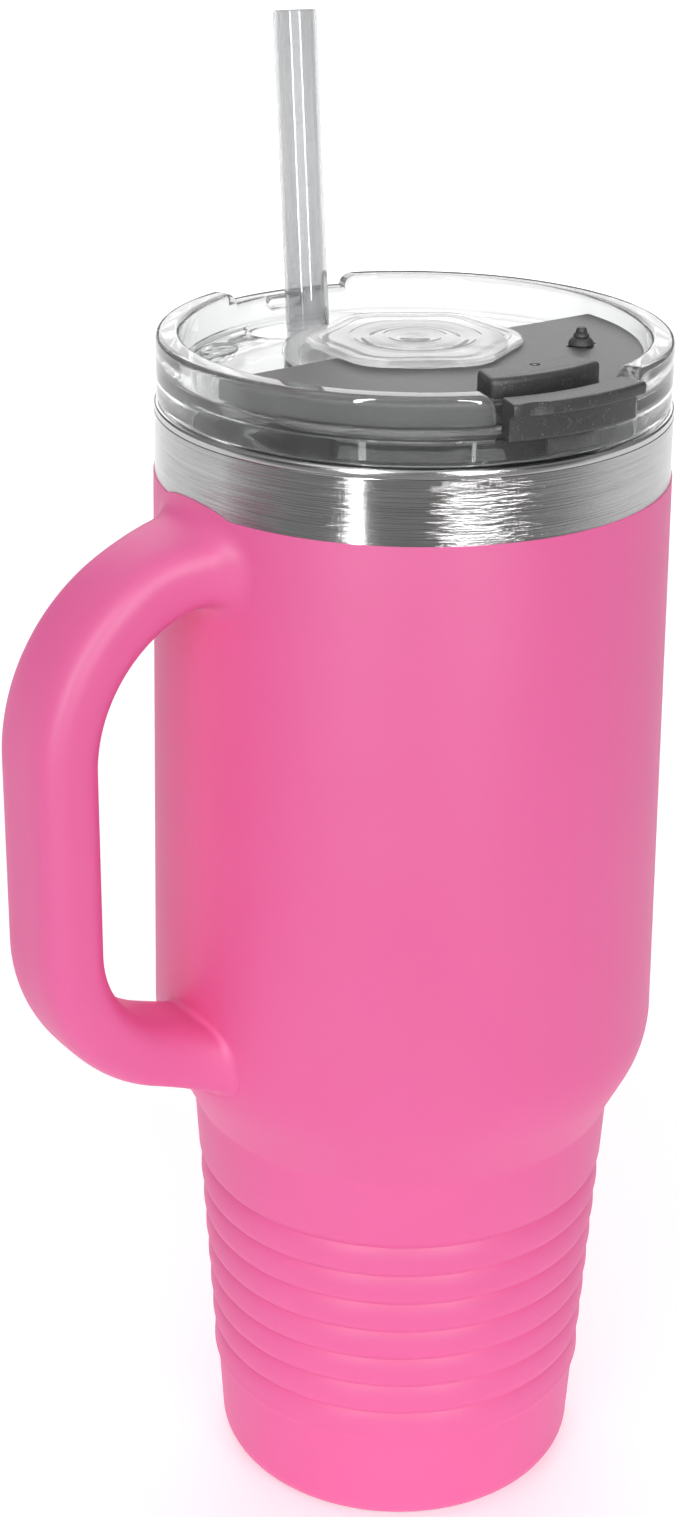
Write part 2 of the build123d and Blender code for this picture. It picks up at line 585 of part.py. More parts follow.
def slot_seal():
    """Silicone pad that closes the sip slot, with its barbed tail."""
    z0, z1 = DECK_TOP_Z + RUN_GAP, SLIDER_TOP_Z - SLIDER_T - 0.03
    out_r = SLIDER_OUT_R - SKIRT_T - PAD_CLEAR
    pad = arc_slot(BARB_AZ, SLOT_HALF + 1.2, out_r - SLOT_W / 2, SLOT_W, z0, z1)
    x, y, _ = polar(BARB_AZ, BARB_R)
    zt = SLIDER_TOP_Z
    pts = [(0, z1 - 0.1), (1.35, z1 - 0.1), (1.35, zt + 0.05), (1.9, zt + 0.3), (1.15, zt + 2.1),
           (1.0, BARB_TOP_Z - 0.6), (0.8, BARB_TOP_Z), (0, BARB_TOP_Z), (0, z1 - 0.1)]
    return pad + Pos(x, y, 0) * spin(make_face(Polyline(pts)))


def thumb_tab():
    """Dark tab that fills the gap in the rim and overhangs the flange."""
    edges = [Line((TAB_IN_R, TAB_BOTTOM_Z), (TAB_OUT_R - 0.5, TAB_BOTTOM_Z)),
             Line((TAB_OUT_R - 0.5, TAB_BOTTOM_Z), (TAB_OUT_R, TAB_BOTTOM_Z + 0.5)),
             Line((TAB_OUT_R, TAB_BOTTOM_Z + 0.5), (TAB_OUT_R, TAB_LIP_Z - 0.4)),
             Line((TAB_OUT_R, TAB_LIP_Z - 0.4), (TAB_LIP_R, TAB_LIP_Z)),
             Line((TAB_LIP_R, TAB_LIP_Z), (TAB_LIP_R, TAB_TOP_Z - 0.9)),
             CenterArc((TAB_LIP_R - 0.9, TAB_TOP_Z - 0.9), 0.9, 0, 90),
             Line((TAB_LIP_R - 0.9, TAB_TOP_Z), (TAB_IN_R + 0.5, TAB_TOP_Z)),
             Line((TAB_IN_R + 0.5, TAB_TOP_Z), (TAB_IN_R, TAB_TOP_Z - 0.5)),
             Line((TAB_IN_R, TAB_TOP_Z - 0.5), (TAB_IN_R, TAB_BOTTOM_Z))]
    body = spin(make_face(edges)) & sector(-90, TAB_HALF, TAB_LIP_R + 1, TAB_BOTTOM_Z - 5, TAB_TOP_Z + 5)
    scoop = Pos(*polar(-90 - TAB_HALF + 4.5, TAB_LIP_R + 5.4, TAB_TOP_Z - 1.2)) * Sphere(6.6)
    return body - scoop + tongue(0)


# ---- straw ---------------------------------------------------------------------------------
def straw():
    """Plain tube that leans outwards through the sip slot."""
    lean = Vector(STRAW_LEAN[0], STRAW_LEAN[1], 1).normalized()
    x, y, z = STRAW_AT
    low = STRAW_BOTTOM_Z - z
    start = Vector(x + STRAW_LEAN[0] * low, y + STRAW_LEAN[1] * low, STRAW_BOTTOM_Z)
    length = (STRAW_TOP_Z - STRAW_BOTTOM_Z) / lean.Z
    flat = Plane(origin=start, z_dir=lean, x_dir=(1, 0, 0))
    return extrude(flat * (Circle(STRAW_R) - Circle(STRAW_R - STRAW_WALL)), length)


def main():
    os.makedirs("parts", exist_ok=True)
    outer_half, inner_half = handle_halves()
    nodes = {
        "outer_shell": outer_shell(),
        "powder_coat": powder_coat(),
        "inner_liner": inner_liner(),
        "vacuum_base": vacuum_base(),
        "vacuum_seal": vacuum_seal(),
        "getter": getter(),
        "getter_clip": getter_clip(),
        "base_cover": base_cover(),
        "handle_outer_half": outer_half,
        "handle_inner_half": inner_half,
        "handle_upper_weld": root_weld(True),
        "handle_lower_weld": root_weld(False),
        "lid_body": lid_body(),
        "lid_gasket": lid_gasket(),
        "hub_cap": hub_cap(),
        "slider": slider(),
        "slot_seal": slot_seal(),
        "thumb_tab": thumb_tab(),
        "straw": straw(),
    }
    for name, shape in nodes.items():
        shape.label = name
        export_step(shape, f"parts/{name}.step")


if __name__ == "__main__":
    main()
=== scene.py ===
from math import acos, asin, atan2, cos, degrees, hypot, pi, radians, sin, sqrt, tan
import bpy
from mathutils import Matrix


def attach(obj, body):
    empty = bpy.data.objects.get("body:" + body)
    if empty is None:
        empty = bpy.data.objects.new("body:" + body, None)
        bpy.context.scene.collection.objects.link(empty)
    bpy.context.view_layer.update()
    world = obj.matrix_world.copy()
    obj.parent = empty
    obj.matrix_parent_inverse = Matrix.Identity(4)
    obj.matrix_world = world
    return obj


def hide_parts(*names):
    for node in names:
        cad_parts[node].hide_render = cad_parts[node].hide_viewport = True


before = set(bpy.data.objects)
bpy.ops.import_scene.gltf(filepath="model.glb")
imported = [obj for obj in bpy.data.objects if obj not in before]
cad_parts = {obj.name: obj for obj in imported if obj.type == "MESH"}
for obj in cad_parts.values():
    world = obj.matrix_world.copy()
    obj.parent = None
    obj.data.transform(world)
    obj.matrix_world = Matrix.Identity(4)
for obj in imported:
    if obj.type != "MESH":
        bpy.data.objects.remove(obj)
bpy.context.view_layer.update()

from types import SimpleNamespace

import bmesh
import bpy
import numpy as np
from bpy.props import FloatProperty, IntProperty, PointerProperty
from bpy.types import Operator, Panel, PropertyGroup
from mathutils import Matrix, Vector

bl_info = {
    "name": "Insulated tumbler",
    "version": (1, 0, 0),
    "blender": (4, 5, 0),
    "location": "View3D > Sidebar > Tumbler",
    "description": "Builds the looks of an insulated tumbler with lid and straw around its CAD frame",
    "category": "Add Mesh",
}

MM = 0.001
TURN = 2 * pi
SHARP = 32            # edges over this many degrees stay sharp
MERGE = 2e-6          # metres within which vertices become one
NO_LENGTH = 1e-7      # metres under which an edge goes
FEWEST_FACES = 10     # a cut that leaves fewer has gone wrong


# ---- sizes ---------------------------------------------------------------------------------
def size(name, mm, text):
    """A length, given in millimetres and kept in metres."""
    return FloatProperty(name=name, description=text, default=mm * MM, unit="LENGTH", precision=5)


def turn(name, deg, text):
    """An angle, given in degrees and kept in radians."""
    return FloatProperty(name=name, description=text, default=radians(deg), subtype="ANGLE")


def ratio(name, value, text):
    return FloatProperty(name=name, description=text, default=value, subtype="FACTOR", precision=4)


def steps(name, value, text):
    return IntProperty(name=name, description=text, default=value, subtype="UNSIGNED")


class TumblerCup(PropertyGroup):
    """Sizes of the coated cup, its steel shell and its liner."""
    drum: size("Drum radius", 50.0, "Radius of the coated drum at the border of the coat")
    taper: ratio("Drum taper", 0.014, "Growth in radius for each unit downwards")
    coat_top: size("Coat top", 222.5, "Height of the border of the coat")
    lip_z: size("Lip height", 236.4, "Height of the steel mouth")
    lip_r: size("Lip radius", 49.7, "Outer radius of the steel mouth")
    mouth_r: size("Mouth radius", 46.3, "Inner radius of the mouth")
    lip_h: size("Lip depth", 1.6, "Height of the rolled lip")
    shoulder_z: size("Shoulder height", 108.8, "Height at which the drum rounds in")
    shoulder_r: size("Shoulder rounding", 25.5, "Radius of the shoulder")
    shoulder_turn: turn("Shoulder turn", 28.0, "Turn of the shoulder")
    waist_z: size("Waist height", 87.2, "Height of the waist")
    waist_r: size("Waist radius", 43.8, "Radius at the waist")
    cup_taper: ratio("Cup taper", 0.061, "Loss of radius for each unit downwards")
    ring_top: size("First crease", 71.2, "Height of the first crease")
    pitch: size("Ring pitch", 7.02, "Distance from crease to crease")
    depth: size("Ring depth", 1.25, "Crest to crease")
    rings: steps("Rings", 7, "Number of rolled rings")
    crest: ratio("Crest share", 0.62, "Share of the pitch above the crest")
    step: size("Base step", 0.5, "Plain base inside the crests")
    fillet: size("Base rounding", 6.2, "Rounding at the foot")
    foot: size("Foot radius", 30.0, "Inner edge of the foot")
    coat: size("Coat", 0.2, "Thickness of the coat")
    shell: size("Shell", 0.5, "Thickness of the shell")
    liner: size("Liner", 0.45, "Thickness of the liner")
    segments: steps("Segments", 256, "Steps round the axis")


class TumblerHandle(PropertyGroup):
    """Sizes of the handle."""
    grip_x: size("Grip reach", 81.2, "Axis of the cup to the line of the grip")
    top_z: size("Grip top", 178.2, "Where the upper bend begins")
    low_z: size("Grip bottom", 140.8, "Where the lower bend begins")
    upper: size("Upper bend", 34.8, "Radius of the upper bend")
    lower: size("Lower bend", 28.0, "Radius of the lower bend")
    slope: turn("Arm slope", 20.0, "Slope of the lower arm")
    width: size("Width", 21.0, "Width of the section")
    thick: size("Thickness", 13.3, "Thickness of the section")
    soft: ratio("Softness", 3.3, "Power of the superellipse of the section")
    flare: size("Flare", 5.2, "Growth in width at the roots")
    flare_run: size("Flare run", 13.0, "Length over which a root widens")
    upper_weld: size("Upper weld", 4.6, "Fillet of the upper root")
    lower_weld: size("Lower weld", 1.5, "Fillet of the lower root")


class TumblerLid(PropertyGroup):
    """Sizes of the clear lid."""
    lid_r: size("Lid radius", 49.2, "Outer radius of the rim")
    rim_in: size("Rim inner radius", 44.4, "Inner radius of the rim")
    flange_z: size("Flange", 236.7, "Underside of the flange")
    deck_z: size("Deck", 242.4, "Top of the deck")
    deck_t: size("Deck thickness", 2.0, "Thickness of the deck")
    rim_z: size("Rim top", 249.4, "Top of the rim")
    plug_r: size("Skirt radius", 45.5, "Outer radius of the skirt")
    plug_in: size("Skirt inner radius", 43.2, "Inner radius of the skirt")
    plug_z: size("Skirt end", 224.6, "Lower end of the skirt")
    groove_z: size("Groove", 229.6, "Lower edge of the gasket groove")
    groove_h: size("Groove height", 3.6, "Height of the gasket groove")
    groove_d: size("Groove depth", 1.2, "Depth of the gasket groove")
    gap_half: turn("Tab opening", 19.0, "Half angle of the opening for the tab")
    gap_z: size("Opening floor", 241.0, "Floor of the opening")
    wall_z: size("Low wall", 245.2, "Top of the wall inside the opening")
    wall_t: size("Low wall thickness", 1.5, "Thickness of that wall")
    rim_end: size("Rim end rounding", 2.6, "Rounding of the ends of the rim")
    dip_half: turn("Dip", 17.0, "Half angle of the lowered rim")
    dip_z: size("Dip height", 247.1, "Top of the lowered rim")
    slot_r: size("Slot radius", 36.8, "Middle radius of the sip slot")
    slot_w: size("Slot width", 11.6, "Width of the sip slot")
    slot_half: turn("Slot half angle", 20.0, "Half angle of the sip slot")
    hub_z: size("Hub top", 248.0, "Top of the hub")
    hub_r: size("Hub corner radius", 22.04, "Corner radius of the hub's hexagon")


class TumblerCover(PropertyGroup):
    """Sizes of the slider, its seal and the thumb tab."""
    az: turn("Slider middle", -88.0, "Azimuth of the middle of the slider")
    half: turn("Slider half angle", 89.5, "Half angle of the slider")
    in_r: size("Inner radius", 25.6, "Inner radius of the slider")
    out_r: size("Outer radius", 43.4, "Outer radius of the slider")
    top_z: size("Top", 246.4, "Top of the slider")
    low_z: size("Underside", 242.75, "Underside of the slider")
    top_t: size("Top thickness", 1.6, "Thickness of the top")
    top_in: size("Top inner radius", 18.2, "Inner edge of the top, under the cap of the hub")
    top_lip: size("Top lip", 0.7, "Thickness of the top beyond the channel")
    skirt: size("Skirt", 1.2, "Thickness of the skirt")
    block_half: turn("Grip half angle", 17.5, "Half angle of the finger grip")
    block_in: size("Grip inner radius", 33.2, "Inner radius of the finger grip")
    block_out: size("Grip outer radius", 42.4, "Outer radius of the finger grip")
    block_z: size("Grip top", 250.4, "Top of the finger grip")
    barb_az: turn("Barb azimuth", -34.0, "Azimuth of the tail of the seal")
    barb_r: size("Barb radius", 31.6, "Distance of the tail from the axis")
    barb_z: size("Barb top", 249.8, "Top of the tail")
    tab_half: turn("Tab half angle", 16.6, "Half angle of the thumb tab")
    tab_in: size("Tab inner radius", 46.5, "Inner radius of the thumb tab")
    tab_out: size("Tab outer radius", 50.4, "Outer radius of the thumb tab")
    tab_lip: size("Tab lip radius", 52.4, "Radius of the lip of the thumb tab")
    tab_z: size("Tab top", 248.4, "Top of the thumb tab")
    tab_low: size("Tab bottom", 241.05, "Bottom of the thumb tab")


class TumblerStraw(PropertyGroup):
    """Sizes of the straw."""
    radius: size("Radius", 4.35, "Outer radius")
    wall: size("Wall", 0.7, "Thickness of the wall")
    at_x: size("Crossing X", 0.35, "Where its axis crosses the underside of the deck")
    at_y: size("Crossing Y", 37.0, "Where its axis crosses the underside of the deck")
    at_z: size("Crossing Z", 240.4, "Height of the underside of the deck")
    lean_x: ratio("Lean X", 0.034, "Sideways run for each unit of height")
    lean_y: ratio("Lean Y", 0.135, "Sideways run for each unit of height")
    low: size("Lower end", 13.75, "Height of the lower end")
    top: size("Upper end", 302.7, "Height of the upper end")


GROUPS = {"tumbler_cup": TumblerCup, "tumbler_handle": TumblerHandle, "tumbler_lid": TumblerLid,
          "tumbler_cover": TumblerCover, "tumbler_straw": TumblerStraw}


def read(context, key):
    """The group's lengths in millimetres, its angles in radians and its ratios as they are."""
    group, out = getattr(context.scene, key), SimpleNamespace()
    for name, prop in group.bl_rna.properties.items():
        if name in ("rna_type", "name"):
            continue
        value = getattr(group, name)
        setattr(out, name, value / MM if getattr(prop, "unit", "") == "LENGTH" else value)
    return out


# ---- numpy surfaces ------------------------------------------------------------------------
def quads(nu, nv, wrap_u=False, wrap_v=False):
    """Quads of a grid of nu rows and nv columns, with index i * nv + j."""
    rows = np.arange(nu if wrap_u else nu - 1)
    columns = np.arange(nv if wrap_v else nv - 1)
    i, j = np.meshgrid(rows, columns, indexing="ij")
    below, right = (i + 1) % nu, (j + 1) % nv
    corners = [i * nv + j, below * nv + j, below * nv + right, i * nv + right]
    return np.stack(corners, -1).reshape(-1, 4).tolist()


def spun(profile, angles, closed=True, place=(0, 0)):
    """x = r(t) cos(a) + px, y = r(t) sin(a) + py, z = z(t): a closed profile carried round the axis.

    profile is (N, 2), or (A, N, 2) where it changes with the angle.
    """
    p = np.broadcast_to(np.asarray(profile, float), (len(angles),) + np.shape(profile)[-2:])
    c, s = np.cos(angles)[:, None], np.sin(angles)[:, None]
    pts = np.stack([p[..., 0] * c + place[0], p[..., 0] * s + place[1], p[..., 1]], -1)
    n = p.shape[1]
    faces = quads(len(angles), n, closed, True)
    if not closed:
        last = (len(angles) - 1) * n
        faces += [list(range(n)), list(range(last, last + n))]
    return pts.reshape(-1, 3), faces


def stacked(outline, levels):
    """P = outline(t) + inset(k) * inward normal(t), z = z(k): an outline carried up by levels."""
    o = np.asarray(outline, float)
    t = np.roll(o, -1, 0) - np.roll(o, 1, 0)
    t /= np.linalg.norm(t, axis=1)[:, None]
    inward = np.stack([-t[:, 1], t[:, 0]], -1)
    rows = [np.column_stack([o + inset * inward, np.full(len(o), z)]) for inset, z in levels]
    n, last = len(o), (len(levels) - 1) * len(o)
    caps = [list(range(n)), list(range(last, last + n))]
    return np.concatenate(rows), quads(len(levels), n, False, True) + caps


def inset_loop(profile, amount):
    """The closed profile (anticlockwise) moved inwards by amount along its own normals."""
    o = np.asarray(profile, float)
    t = np.roll(o, -1, 0) - np.roll(o, 1, 0)
    t /= np.maximum(np.linalg.norm(t, axis=1), 1e-9)[:, None]
    return o + amount * np.stack([-t[:, 1], t[:, 0]], -1)


def arc(cx, cz, r, a0, a1, n):
    """(cx + r cos a, cz + r sin a) for a from a0 to a1 in degrees."""
    a = np.radians(np.linspace(a0, a1, n))
    return np.stack([cx + r * np.cos(a), cz + r * np.sin(a)], -1)


def hermite(p, q, tp, tq, n):
    """Cubic from p to q that leaves along tp and arrives along tq."""
    t = np.linspace(0, 1, n)[:, None]
    p, q, tp, tq = (np.asarray(v, float) for v in (p, q, tp, tq))
    return ((2 * t**3 - 3 * t**2 + 1) * p + (t**3 - 2 * t**2 + t) * tp
            + (-2 * t**3 + 3 * t**2) * q + (t**3 - t**2) * tq)


def rounded(points, radius, n=5):
    """The closed polygon with each corner turned into an arc of at most that radius."""
    p, out = np.asarray(points, float), []
    radii = radius if isinstance(radius, (list, tuple)) else [radius] * len(p)
    for i, r in enumerate(radii):
        a, b, c = p[i - 1], p[i], p[(i + 1) % len(p)]
        u, v = (a - b) / np.linalg.norm(a - b), (c - b) / np.linalg.norm(c - b)
        if r < 1e-4:
            out.append(b[None])
            continue
        half = acos(max(-1, min(1, float(u @ v)))) / 2
        cut = min(r / tan(half), 0.49 * np.linalg.norm(a - b), 0.49 * np.linalg.norm(c - b))
        t = np.linspace(0, 1, n)[:, None]
        out.append((1 - t) ** 2 * (b + u * cut) + 2 * t * (1 - t) * b + t**2 * (b + v * cut))
    return np.concatenate(out)


def arc_outline(az, half, r_mid, width, grow=0.0, n=40, tip=14):
    """Outline, anticlockwise, of a curved slot with round ends; az and half in radians."""
    w = width / 2 + grow
    e = asin(width / 2 / r_mid)
    a = np.linspace(az - half + e, az + half - e, n)
    out = np.stack([(r_mid + w) * np.cos(a), (r_mid + w) * np.sin(a)], -1)
    inn = np.stack([(r_mid - w) * np.cos(a[::-1]), (r_mid - w) * np.sin(a[::-1])], -1)
    b = np.linspace(0, pi, tip + 2)[1:-1]
    ends = []
    for at, start in ((a[-1], a[-1]), (a[0], a[0] + pi)):
        c = np.array([r_mid * cos(at), r_mid * sin(at)])
        ends.append(c + w * np.stack([np.cos(start + b), np.sin(start + b)], -1))
    return np.concatenate([out, ends[0], inn, ends[1]])


def joined(*parts):
    """Several (points, faces) as one."""
    pts, faces, n = [], [], 0
    for p, f in parts:
        pts.append(p)
        faces += [[k + n for k in face] for face in f]
        n += len(p)
    return np.concatenate(pts), faces


def sphere(centre, half, n=40):
    """centre + half * (cos u cos v, sin u cos v, sin v), an ellipsoid with closed poles."""
    v = np.linspace(-pi / 2, pi / 2, n)
    meridian = np.stack([np.cos(v), np.sin(v)], -1)
    pts, faces = spun(meridian, np.linspace(0, TURN, 2 * n, endpoint=False))
    keep = [f for f in faces if not {k % n for k in f} == {0, n - 1}]
    return pts * np.asarray(half) + np.asarray(centre), keep


def new_object(name, points, faces, sharp=SHARP):
    """Mesh object from millimetre points, merged, facing outwards, smooth but for sharp edges."""
    mesh = bpy.data.meshes.new(name)
    mesh.from_pydata((np.asarray(points) * MM).tolist(), [], faces)
    bm = bmesh.new()
    bm.from_mesh(mesh)
    bmesh.ops.remove_doubles(bm, verts=bm.verts, dist=MERGE)
    bmesh.ops.dissolve_degenerate(bm, edges=bm.edges, dist=NO_LENGTH)
    bmesh.ops.recalc_face_normals(bm, faces=bm.faces)
    bm.to_mesh(mesh)
    bm.free()
    mesh.shade_smooth()
    mesh.set_sharp_from_angle(angle=radians(sharp))
    obj = bpy.data.objects.new(name, mesh)
    bpy.context.scene.collection.objects.link(obj)
    return obj


def cut(obj, shape, sharp=SHARP):
    """Takes shape, (points, faces), out of the object's mesh."""
    tool = new_object("cutter", *shape)
    mod = obj.modifiers.new("cut", "BOOLEAN")
    mod.operation, mod.solver, mod.object = "DIFFERENCE", "EXACT", tool
    bpy.context.view_layer.update()
    made = bpy.data.meshes.new_from_object(obj.evaluated_get(bpy.context.evaluated_depsgraph_get()))
    if len(made.polygons) < FEWEST_FACES:
        raise RuntimeError("a cut left nothing of " + obj.name)
    obj.modifiers.clear()
    obj.data = made
    bpy.data.objects.remove(tool)
    made.shade_smooth()
    made.set_sharp_from_angle(angle=radians(sharp))
    return obj


def piece(name, shape, body, slot, paint, *nodes, sharp=SHARP):
    """A finished piece that rides on a body and stands for the CAD nodes given."""
    obj = shape if isinstance(shape, bpy.types.Object) else new_object(name, *shape, sharp=sharp)
    obj.name = obj.data.name = name
    obj.data.materials.clear()
    obj.data.materials.append(paint)
    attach(obj, body)
    if nodes:
        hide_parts(*nodes)
    return obj


# ---- materials -----------------------------------------------------------------------------
class Sock:
    """A node output that Python's operators turn into Math nodes."""

    def __init__(self, tree, out):
        self.tree, self.out = tree, out

    def math(self, kind, *rest, first=None):
        node = self.tree.nodes.new("ShaderNodeMath")
        node.operation = kind
        values = (self, *rest) if first is None else (first, self)
        for slot, value in zip(node.inputs, values):
            if isinstance(value, Sock):
                self.tree.links.new(value.out, slot)
            else:
                slot.default_value = value
        return Sock(self.tree, node.outputs[0])

    def __add__(self, o):
        return self.math("ADD", o)

    def __sub__(self, o):
        return self.math("SUBTRACT", o)

    def __rsub__(self, o):
        return self.math("SUBTRACT", first=o)

    def __mul__(self, o):
        return self.math("MULTIPLY", o)

    def __truediv__(self, o):
        return self.math("DIVIDE", o)

    def clamp(self, low, high):
        """0 at low and 1 at high, held between."""
        return ((self - low) / (high - low)).math("MAXIMUM", 0.0).math("MINIMUM", 1.0)

    __radd__, __rmul__ = __add__, __mul__


class Paint:
    """One procedural material, in the object's own coordinates."""

    def __init__(self, name):
        self.material = bpy.data.materials.new(name)
        self.material.use_nodes = True
        self.tree = self.material.node_tree
        self.shader = self.tree.nodes["Principled BSDF"]
        self.where = self.node("ShaderNodeTexCoord", out="Object")

    def node(self, kind, out=0, props=None, **inputs):
        """Any node: its properties, its inputs by name or as _index, and the output wanted."""
        node = self.tree.nodes.new(kind)
        for key, value in (props or {}).items():
            setattr(node, key, value)
        for key, value in inputs.items():
            by_number = key[1:].isdigit()
            slot = node.inputs[int(key[1:]) if by_number else key.replace("_", " ")]
            if isinstance(value, Sock):
                self.tree.links.new(value.out, slot)
            else:
                slot.default_value = value
        return Sock(self.tree, node.outputs[out])

    def stretch(self, x, y, z):
        """The place on the object, multiplied along each axis."""
        return self.vector("MULTIPLY", 0, (x, y, z))

    def vector(self, kind, out, other=(0.0, 0.0, 0.0)):
        """Vector Math on the place on the object; output 0 is the vector and 1 the value."""
        return self.node("ShaderNodeVectorMath", out=out, props={"operation": kind}, _0=self.where,
                         _1=other)

    def noise(self, vector, scale=1.0, detail=2.0, rough=0.5):
        return self.node("ShaderNodeTexNoise", out="Fac", Vector=vector, Scale=scale, Detail=detail,
                         Roughness=rough)

    def mix(self, fac, a, b):
        """Colour between a and b."""
        return self.node("ShaderNodeMix", out=2, props={"data_type": "RGBA"}, _0=fac, _6=a, _7=b)

    def bump(self, height, strength, distance):
        return self.node("ShaderNodeBump", Height=height, Strength=strength, Distance=distance)

    def finish(self, **inputs):
        for key, value in inputs.items():
            slot = self.shader.inputs[key.replace("_", " ")]
            if isinstance(value, Sock):
                self.tree.links.new(value.out, slot)
            else:
                slot.default_value = value
        return self.material


def tone(r, g=None, b=None):
    return (r, r if g is None else g, r if b is None else b, 1.0)


def coat_paint():
    """Powder coat: fine orange peel, faint cloudiness and a satin surface."""
    p = Paint("powder_coat_paint")
    peel = p.noise(p.where, 1500, 3, 0.55)
    cloud = p.noise(p.where, 22, 2)
    dust = p.noise(p.where, 5200, 1)
    colour = p.mix(cloud.clamp(0.3, 0.7), tone(0.866, 0.135, 0.372), tone(0.882, 0.147, 0.390))
    return p.finish(Base_Color=colour, Roughness=0.47 + 0.07 * (peel - 0.5) + 0.05 * (dust - 0.5),
                    Specular_IOR_Level=0.32, Normal=p.bump(peel + 0.3 * dust, 0.10, 0.00012))


def steel_paint(name, base, rough, lines, grain=1.0):
    """Steel brushed round the axis: streaks short in height and long round the cup."""
    p = Paint(name)
    fine = p.noise(p.stretch(9, 9, 9000 * lines), 1.0, 3, 0.65)
    broad = p.noise(p.stretch(5, 5, 1500 * lines), 1.0, 2, 0.6)
    patch = p.noise(p.where, 40, 2)
    streak = 0.65 * fine + 0.35 * broad
    colour = p.mix(streak.clamp(0.3, 0.7), tone(base * 0.90), tone(base * 1.08))
    uneven = 0.22 * (fine - 0.5) + 0.05 * (patch - 0.5)
    return p.finish(Base_Color=colour, Metallic=1.0, Roughness=rough + grain * uneven,
                    Normal=p.bump(streak, 0.9 * grain, 0.00009))


def clear_paint(name, tint, rough, wave, alpha=1.0, clarity=1.0):
    """Clear moulded plastic: faint flow waves, fine haze and handling marks."""
    p = Paint(name)
    flow = p.noise(p.stretch(1, 1, 2.5), 60, 2, 0.4)
    haze = p.noise(p.where, 900, 2)
    marks = p.noise(p.stretch(2600, 400, 500), 1.0, 2).clamp(0.66, 0.72)
    return p.finish(Base_Color=tint, Transmission_Weight=clarity, IOR=1.49, Alpha=alpha,
                    Roughness=rough + 0.02 * haze + 0.05 * marks, Normal=p.bump(flow, wave, 0.0004))


def dark_paint(name, base, rough, speck, grain=1700):
    """Dark moulded plastic with a spark-eroded texture and pale specks on its high points."""
    p = Paint(name)
    spark = p.noise(p.where, grain, 3, 0.7)
    dots = p.node("ShaderNodeTexVoronoi", out="Distance", Vector=p.where, Scale=2400.0)
    chance = p.noise(p.where, 600, 3)
    pale = (1.0 - dots.clamp(0.12, 0.30)) * chance.clamp(0.50, 0.62) * speck
    body = p.mix(spark.clamp(0.3, 0.7), tone(base * 0.8), tone(base * 1.2))
    return p.finish(Base_Color=p.mix(pale, body, tone(0.42)), Roughness=rough + 0.15 * (spark - 0.5),
                    Normal=p.bump(spark, 0.38, 0.00016))


def rubber_paint(name, colour, rough, clear):
    """Silicone: a soft satin surface with faint dust."""
    p = Paint(name)
    dust = p.noise(p.where, 800, 3)
    dark = tuple(c * 0.86 for c in colour[:3]) + (1.0,)
    return p.finish(Base_Color=p.mix(dust.clamp(0.35, 0.65), dark, colour),
                    Roughness=rough + 0.1 * (dust - 0.5), Transmission_Weight=clear, IOR=1.41,
                    Normal=p.bump(dust, 0.12, 0.0001))


def tablet_paint():
    """Pressed metal powder of the getter."""
    p = Paint("tablet_paint")
    grain = p.noise(p.where, 2400, 4, 0.7)
    return p.finish(Base_Color=p.mix(grain, tone(0.10), tone(0.24)), Metallic=0.5,
                    Roughness=0.7 + 0.2 * (grain - 0.5), Normal=p.bump(grain, 0.5, 0.0002))


PAINTS = {}


def paint(name):
    """The shared materials, each made once."""
    makers = {
        "coat": coat_paint,
        "steel": lambda: steel_paint("brushed_steel_paint", 0.42, 0.10, 1.0),
        "lip": lambda: steel_paint("lip_steel_paint", 0.50, 0.20, 0.7, 0.6),
        "plain": lambda: steel_paint("plain_steel_paint", 0.50, 0.36, 0.5, 0.5),
        "lid": lambda: clear_paint("clear_lid_paint", tone(0.88, 0.89, 0.89), 0.012, 0.10, 0.94, 0.97),
        # painted light: the hub is tinted white and only 0.55 of it is clear, so its dull white share
        # brightens it as light on the deck would
        "hub": lambda: clear_paint("hub_painted_light_paint", tone(1.0), 0.012, 0.30, 0.62, 0.55),
        "straw": lambda: clear_paint("clear_straw_paint", tone(0.61, 0.615, 0.62), 0.04, 0.06, 0.92,
                                     0.95),
        "solder": lambda: clear_paint("solder_glass_paint", tone(0.20, 0.20, 0.22), 0.10, 0.2),
        "plate": lambda: dark_paint("slider_paint", 0.078, 0.47, 0.3),
        "tab": lambda: dark_paint("tab_paint", 0.042, 0.44, 0.6),
        "gasket": lambda: rubber_paint("gasket_paint", tone(0.74, 0.75, 0.75), 0.42, 0.6),
        "seal": lambda: rubber_paint("seal_paint", tone(0.05, 0.05, 0.052), 0.55, 0.0),
        "tablet": tablet_paint,
    }
    if name not in PAINTS:
        PAINTS[name] = makers[name]()
    return PAINTS[name]


# ---- cup -----------------------------------------------------------------------------------
def drum_r(c, z):
    return c.drum + c.taper * (c.coat_top - z)


def crest_r(c, z):
    """Line of the crests of the lower cup."""
    return c.waist_r - c.cup_taper * (c.waist_z - z)


